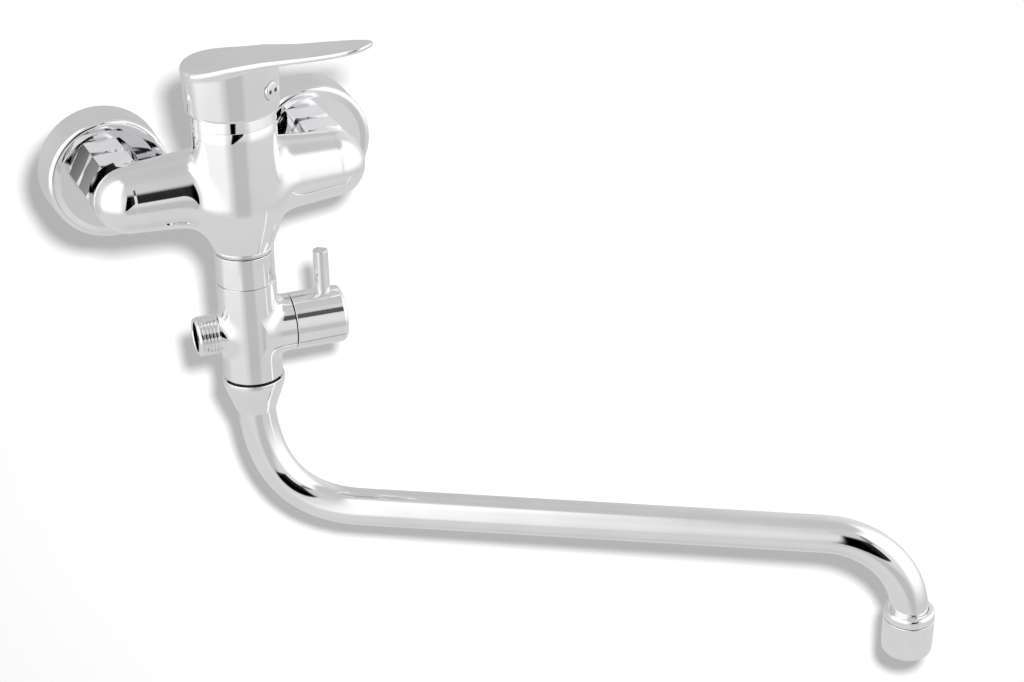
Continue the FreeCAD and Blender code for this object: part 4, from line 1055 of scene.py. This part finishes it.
# %% Handle, hollowed
ROOF = SKIRT_TOP - 3.0
PLUG_HEIGHT = 55.6
LEVER_FRAME = BARREL @ Matrix.Rotation(LEVER_TURN, 4, "Z")
INDEX = (LEVER_FRAME @ Matrix.Translation((0, 0, PLUG_HEIGHT * MM))
         @ Matrix.Rotation(math.pi / 2, 4, "X"))
hollow = [(7.6, 40), (21.8, 40), (21.8, 44), (22.2, 46), (22.2, ROOF), (7.6, ROOF)]
carve(handle, moved(turned_piece("hollow", rounded(hollow, {4: 2.0}, 4), 96), BARREL))
carve(handle, moved(rod(8.0, 40, 46.0), BARREL))
socket = rod(3.95 * math.sqrt(2), 44, 60.3, sides=4)
carve(handle, moved(socket, LEVER_FRAME @ Matrix.Rotation(math.pi / 4, 4, "Z")))
carve(handle, moved(rod(2.5, 2, 9), INDEX))
carve(handle, moved(rod(4.85, 20.5, 27), INDEX))
shade_by(handle, handle_surface, turn=0.7)
fit(handle, "cast_chrome", "chrome", "handle")

# %% [markdown]
# The button over the grub screw is a little turned cap with two round dots.
# The dots stay as CAD nodes. The cap gets a soft rounded rim, and the narrow
# gap round it shows as a fine dark ring.

# %% Index button
cap_line = rounded([(0, 22.9), (4.7, 22.9), (4.7, 25.1), (0, 25.1)], {2: 0.8})
button = turned_piece("index_button", cap_line, 72)
for spread in (-2.2, 2.2):
    carve(button, rod(1.1, 24.6, 26, spread, 0, 40))
fit(polish(moved(button, INDEX), 30, False), "plated_plastic", "chromed_plastic", "index_plug")

# %% [markdown]
# Below the body comes a narrow trim ring with one deep groove, and then the
# round union nut of the diverter. Near its foot the nut has four flats for a
# spanner, cut into the turned form.

# %% Trim ring and collar
ring = [(THREAD_BORE, -33.1), (15.5, -33.1), (15.5, -32.6), (14.7, -32.5), (14.7, -32.2),
        (15.5, -32.1), (15.5, -31.02), (THREAD_BORE, -31.02)]
ring = rounded(ring, {1: 0.35, 2: 0.12, 5: 0.12, 6: 0.35}, 4)
fit_chromed(turned_piece("trim_ring", ring), BARREL, "outlet_ring")

COLLAR_RADIUS = 15.2
COLLAR_FLAT = 14.45
FLAT_MIDDLE = -46.4
FLAT_BLOCK = (4.0, 16.0, 9.4)
section = [(THREAD_BORE, -47.2), (10.8, -47.2), (10.8, -50.3), (COLLAR_RADIUS, -50.3),
           (COLLAR_RADIUS, -33.7), (THREAD_BORE, -33.7)]
collar = turned_piece("diverter_nut", rounded(section, {3: 0.15, 4: 0.45}, 4))
for turn in range(4):
    bpy.ops.object.select_all(action="DESELECT")
    bpy.ops.mesh.primitive_cube_add(size=1)
    block = bpy.context.object
    moved(block, Matrix.Diagonal((*(v * MM for v in FLAT_BLOCK), 1)))
    moved(block, Matrix.Translation(((COLLAR_FLAT + 2) * MM, 0, FLAT_MIDDLE * MM)))
    moved(block, Matrix.Rotation(math.radians(45 + 90 * turn), 4, "Z"))
    carve(collar, block)
fit_chromed(collar, BARREL, "diverter_collar", 20)

# %% [markdown]
# The diverter is a small cross casting. Its column, the round boss of the
# valve and the neck of the hose outlet flow together in small fillets, so it
# is made as the body was.

# %% Diverter casting
CROSS_WAY = np.array([math.cos(CROSS_TURN), -math.sin(CROSS_TURN), 0])
CROSS_SIDE = np.array([math.sin(CROSS_TURN), math.cos(CROSS_TURN), 0])
CROSS_MIDDLE = np.array([0, AXIS_Y, CROSS_HEIGHT])
COLUMN_RADIUS = 15.5
COLUMN_TOP = -50.42
COLUMN_FOOT = -104.2
BOSS_RADIUS = 15.0
BOSS_FACE = 21.6
NECK_RADIUS = 9.3
NECK_END = -17.0


def diverter_surface(points):
    """Distance to column, boss and neck, blended."""
    local = points - CROSS_MIDDLE
    along = local @ CROSS_WAY
    from_cross = np.hypot(local @ CROSS_SIDE, local[:, 2])
    column = np.hypot(local[:, 0], local[:, 1]) - COLUMN_RADIUS
    boss = np.maximum(from_cross - BOSS_RADIUS, 6 - along)
    neck = np.maximum(from_cross - NECK_RADIUS, along)
    return blended(blended(column, boss, 6.0), neck, 7.0)


blocks = [rod(COLUMN_RADIUS, -107, -48, 0, AXIS_Y),
          moved(rod(BOSS_RADIUS, 0, BOSS_FACE + 3), CROSS),
          moved(rod(NECK_RADIUS, NECK_END - 3, 0), CROSS)]
diverter = fuse("diverter_casting", blocks, 0.6)
skin_on(diverter, diverter_surface)
plane_cut(diverter, (0, 0, COLUMN_TOP), (0, 0, 1))
plane_cut(diverter, (0, 0, COLUMN_FOOT), (0, 0, -1))
plane_cut(diverter, CROSS_MIDDLE + CROSS_WAY * BOSS_FACE, CROSS_WAY)
plane_cut(diverter, CROSS_MIDDLE + CROSS_WAY * NECK_END, -CROSS_WAY)
for hole in (rod(9.2, -9.5, 23), rod(10.9, 14.5, 23), rod(7.9, -30, -8.5)):
    carve(diverter, moved(hole, CROSS))
for hole in (rod(8.5, CROSS_HEIGHT, -47), rod(7.0, -95, CROSS_HEIGHT), rod(10.7, -120, -93.5)):
    carve(diverter, moved(hole, BARREL))
shade_by(diverter, diverter_surface)
fit(diverter, "cast_chrome", "chrome", "diverter_body")

# %% [markdown]
# Above, a flanged spigot hangs in the collar, and below, a threaded stub
# carries the spout nut. Both are lathe parts of the same casting.

# %% Spigot and spout thread
spigot = [(8.5, -50.5), (10.5, -50.5), (10.5, -47.0), (12.9, -47.0), (12.9, -44.0), (8.5, -44.0)]
spigot = turned_piece("diverter_spigot", spigot, 96)
fit(polish(moved(spigot, BARREL)), "brass", "brass", "diverter_body")
stub = [(10.7, COLUMN_FOOT), (THREAD_ROOT, COLUMN_FOOT)]
stub += grooves(-104.3, -109.8, THREAD_RADIUS, THREAD_ROOT, THREAD_PITCH) + [(10.7, -109.8)]
stub = turned_piece("spout_thread", stub, 96)
# The thread stub takes the same greased brass, whose very dark colour is painted shade for the gap
# under the nut.
fit(polish(moved(stub, BARREL), 20, False), "greased_brass", "brass", "diverter_body")

# %% [markdown]
# The hose outlet carries a real pipe thread, so its ridges climb round the
# neck instead of standing as rings. A grid is rolled up into a tube: one side
# of the grid goes round, the other follows the thread's section, and each
# point is pushed along by the pitch as it goes round. A chamfer runs the
# thread out at the mouth and at the neck.

# %% Hose thread
HOSE_END = -29.0
HOSE_RADIUS = 10.48
HOSE_ROOT = 9.3
HOSE_BORE = 7.9
HOSE_VALLEY = HOSE_ROOT + 0.04
SECTION = ((-0.12, HOSE_RADIUS), (0.12, HOSE_RADIUS), (0.45, HOSE_VALLEY), (0.55, HOSE_VALLEY))
ROUND = 128
rows = []
for i in range(-1, 9):
    rows += [(HOSE_END + (i + t) * THREAD_PITCH, radius) for t, radius in SECTION]
bore = [(NECK_END, HOSE_BORE), (HOSE_END + 0.5, HOSE_BORE), (HOSE_END, HOSE_BORE + 0.5)]
count = len(bore) + len(rows)
bpy.ops.object.select_all(action="DESELECT")
bpy.ops.mesh.primitive_grid_add(x_subdivisions=ROUND, y_subdivisions=count, size=1)
thread = bpy.context.object
thread.name = thread.data.name = "hose_thread"
for vertex in thread.data.vertices:
    turn = vertex.co.x + 0.5
    number = round((vertex.co.y + 0.5) * count)
    if number < len(bore) or number == count:
        place, radius = bore[number % count]
    else:
        place, radius = rows[number - len(bore)]
        place = min(max(place + turn * THREAD_PITCH, HOSE_END), NECK_END)
        radius = min(radius, HOSE_ROOT + 0.75 * (place - HOSE_END),
                     HOSE_ROOT + 1.2 * (NECK_END - place))
    angle = 2 * math.pi * turn
    vertex.co = Vector((radius * math.cos(angle), radius * math.sin(angle), place)) * MM
bpy.ops.object.mode_set(mode="EDIT")
clean_shell()
bpy.ops.object.mode_set(mode="OBJECT")
fit_chromed(thread, CROSS, "diverter_body", 40, False)

# %% [markdown]
# The diverter's knob is a plain turned cap with a soft edge. A slim pin stands
# on it as the lever: its foot fills a hole in the knob, and its top edge is
# just broken.

# %% Knob and pin
PIN_PLACE = 40.0
PIN_RADIUS = 4.0
PIN_FOOT = 3.6
PIN_TOP = 37.9
UPRIGHT = Matrix.Translation((0, 0, PIN_PLACE * MM)) @ Matrix.Rotation(-math.pi / 2, 4, "Y")
knob = [(12.0, 22.2), (15.1, 22.2), (15.1, 49.8), (0, 49.8), (0, 36.1), (4.0, 36.1), (4.0, 21.7),
        (5.8, 21.7), (5.8, 32.0), (12.0, 32.0)]
knob = turned_piece("knob_cap", rounded(knob, {1: 0.45, 2: 2.4}, 8))
carve(knob, moved(rod(PIN_RADIUS, PIN_FOOT, 20, sides=64), UPRIGHT))
fit_chromed(knob, CROSS, "diverter_knob")
pin = [(0, PIN_FOOT), (PIN_RADIUS, PIN_FOOT), (PIN_RADIUS, PIN_TOP), (0, PIN_TOP)]
pin = turned_piece("knob_pin", rounded(pin, {2: 0.5}, 4), 64)
fit_chromed(moved(pin, UPRIGHT), CROSS, "diverter_pin")

# %% [markdown]
# The spout nut is a short straight rim that runs down in a bell to the tube.
# Large rounds at the corners of its section make one even S-line of it.

# %% Spout nut
nut = [(THREAD_BORE, -105.5), (16.4, -105.5), (16.4, -107.6), (16.1, -109.4), (15.3, -112.2),
       (14.2, -115.4), (12.9, -118.8), (11.7, -122.2), (10.9, -124.6), (10.3, -125.2),
       (10.3, -113.0), (THREAD_BORE, -113.0)]
nut = rounded(nut, {1: 0.5, 2: 1.0, 3: 6, 4: 20, 5: 20, 6: 20, 7: 20, 8: 0.5}, 4)
fit_chromed(turned_piece("spout_bell_nut", nut), BARREL, "spout_nut", 40)

# %% [markdown]
# The spout is one bent tube, drawn as a Bezier curve with a round bevel. The
# first bend starts gently under the nut and tightens towards the long run. The
# last one is a true quarter circle, for which each handle is 0.5523 of the
# radius long, and ends in the spout's head.

# %% Spout tube
TUBE_RADIUS = 10.0
TUBE_TOP = -111.85
BEND_START = -118.0
BEND_END = 54.5
LAST_BEND = 47.0
DROP = -184.0
REACH = 350.0
QUARTER = 0.5523
SPOUT_FRAME = BARREL @ Matrix.Rotation(SPOUT_TURN, 4, "Z")
knots = [((0, TUBE_TOP), (0, 0), (0, 0)), ((0, BEND_START), (0, 0), (0, -54.9)),
         ((BEND_END, DROP), (-26.5, 0), (0, 0)),
         ((REACH - LAST_BEND, DROP), (0, 0), (QUARTER * LAST_BEND, 0)),
         ((REACH, DROP - LAST_BEND), (0, QUARTER * LAST_BEND), (0, 0))]
path = bpy.data.curves.new("spout_path", "CURVE")
path.dimensions = "3D"
path.resolution_u = 40
path.bevel_depth = TUBE_RADIUS * MM
path.bevel_resolution = 30
path.use_fill_caps = True
spline = path.splines.new("BEZIER")
spline.bezier_points.add(len(knots) - 1)
for knot, (here, back, on) in zip(spline.bezier_points, knots):
    knot.handle_left_type = knot.handle_right_type = "FREE"
    knot.co, knot.handle_left, knot.handle_right = (
        Vector((0, -(here[0] + part[0]), here[1] + part[1])) * MM for part in ((0, 0), back, on))
print("path ready with", len(knots), "knots")

# %% Spout tube, made a mesh
tube = bpy.data.objects.new("spout_bent_tube", mesh_of(path))
bpy.context.scene.collection.objects.link(tube)
pick(tube)
bpy.ops.object.mode_set(mode="EDIT")
clean_shell()
bpy.ops.object.mode_set(mode="OBJECT")
fit(polish(moved(tube, SPOUT_FRAME), 40, False), "tube_chrome", "chrome", "spout_tube")

# %% [markdown]
# A short turned head is brazed on the tube's end, and the aerator's shell
# screws over its thread. The shell narrows a little to a round foot with a
# lip, and the plastic jet former is seen inside it from below.

# %% Spout end and aerator
OUTLET = SPOUT_FRAME @ Matrix.Translation((0, -REACH * MM, 0))
head = [(10.05, -229.9), (10.05, -226.6), (13.5, -226.6), (13.5, -232.2), (11.0, -232.2),
        (11.0, -240.2), (9.0, -240.2), (9.0, -229.9)]
head = turned_piece("spout_head", rounded(head, {1: 0.25, 2: 2.2, 3: 0.3}))
fit_chromed(head, OUTLET, "spout_end")
shell = [(11.1, -232.5), (13.6, -232.5), (13.6, -246.0), (13.1, -254.0), (9.0, -254.0),
         (9.0, -252.6), (11.1, -252.6)]
shell = turned_piece("aerator_cap", rounded(shell, {1: 0.4, 2: 9.0, 3: 3.6, 4: 0.4, 5: 0.3}, 8))
fit_chromed(shell, OUTLET, "aerator_shell")

# %% [markdown]
# The jet former is a white moulding pierced in two rings. One hole is modelled
# once as a cutter and repeated round the middle.

# %% Jet former
former = [(0, -252.3), (10.9, -252.3), (10.9, -241.8), (0, -241.8)]
former = turned_piece("jet_former", rounded(former, {1: 0.4, 2: 0.3}, 3), 96)
for radius, count in ((2.9, 6), (6.2, 12)):
    for i in range(count):
        turn = 2 * math.pi * i / count
        carve(former, rod(1.15, -253, -241, radius * math.cos(turn), radius * math.sin(turn), 24))
fit(polish(moved(former, OUTLET), 30), "acetal", "acetal", "aerator_insert")

# %% [markdown]
# Last, the boxes of the CAD model and of the dressed model are written down
# side by side. They must agree, because Blender changes looks and not sizes.

# %% Sizes and finish
dressed_low, dressed_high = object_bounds()
boxes = {"cad": [list(cad_low), list(cad_high)], "visual": [list(dressed_low), list(dressed_high)]}
for name, box in boxes.items():
    print(name, "box in mm", [round(v / MM, 1) for corner in box for v in corner])
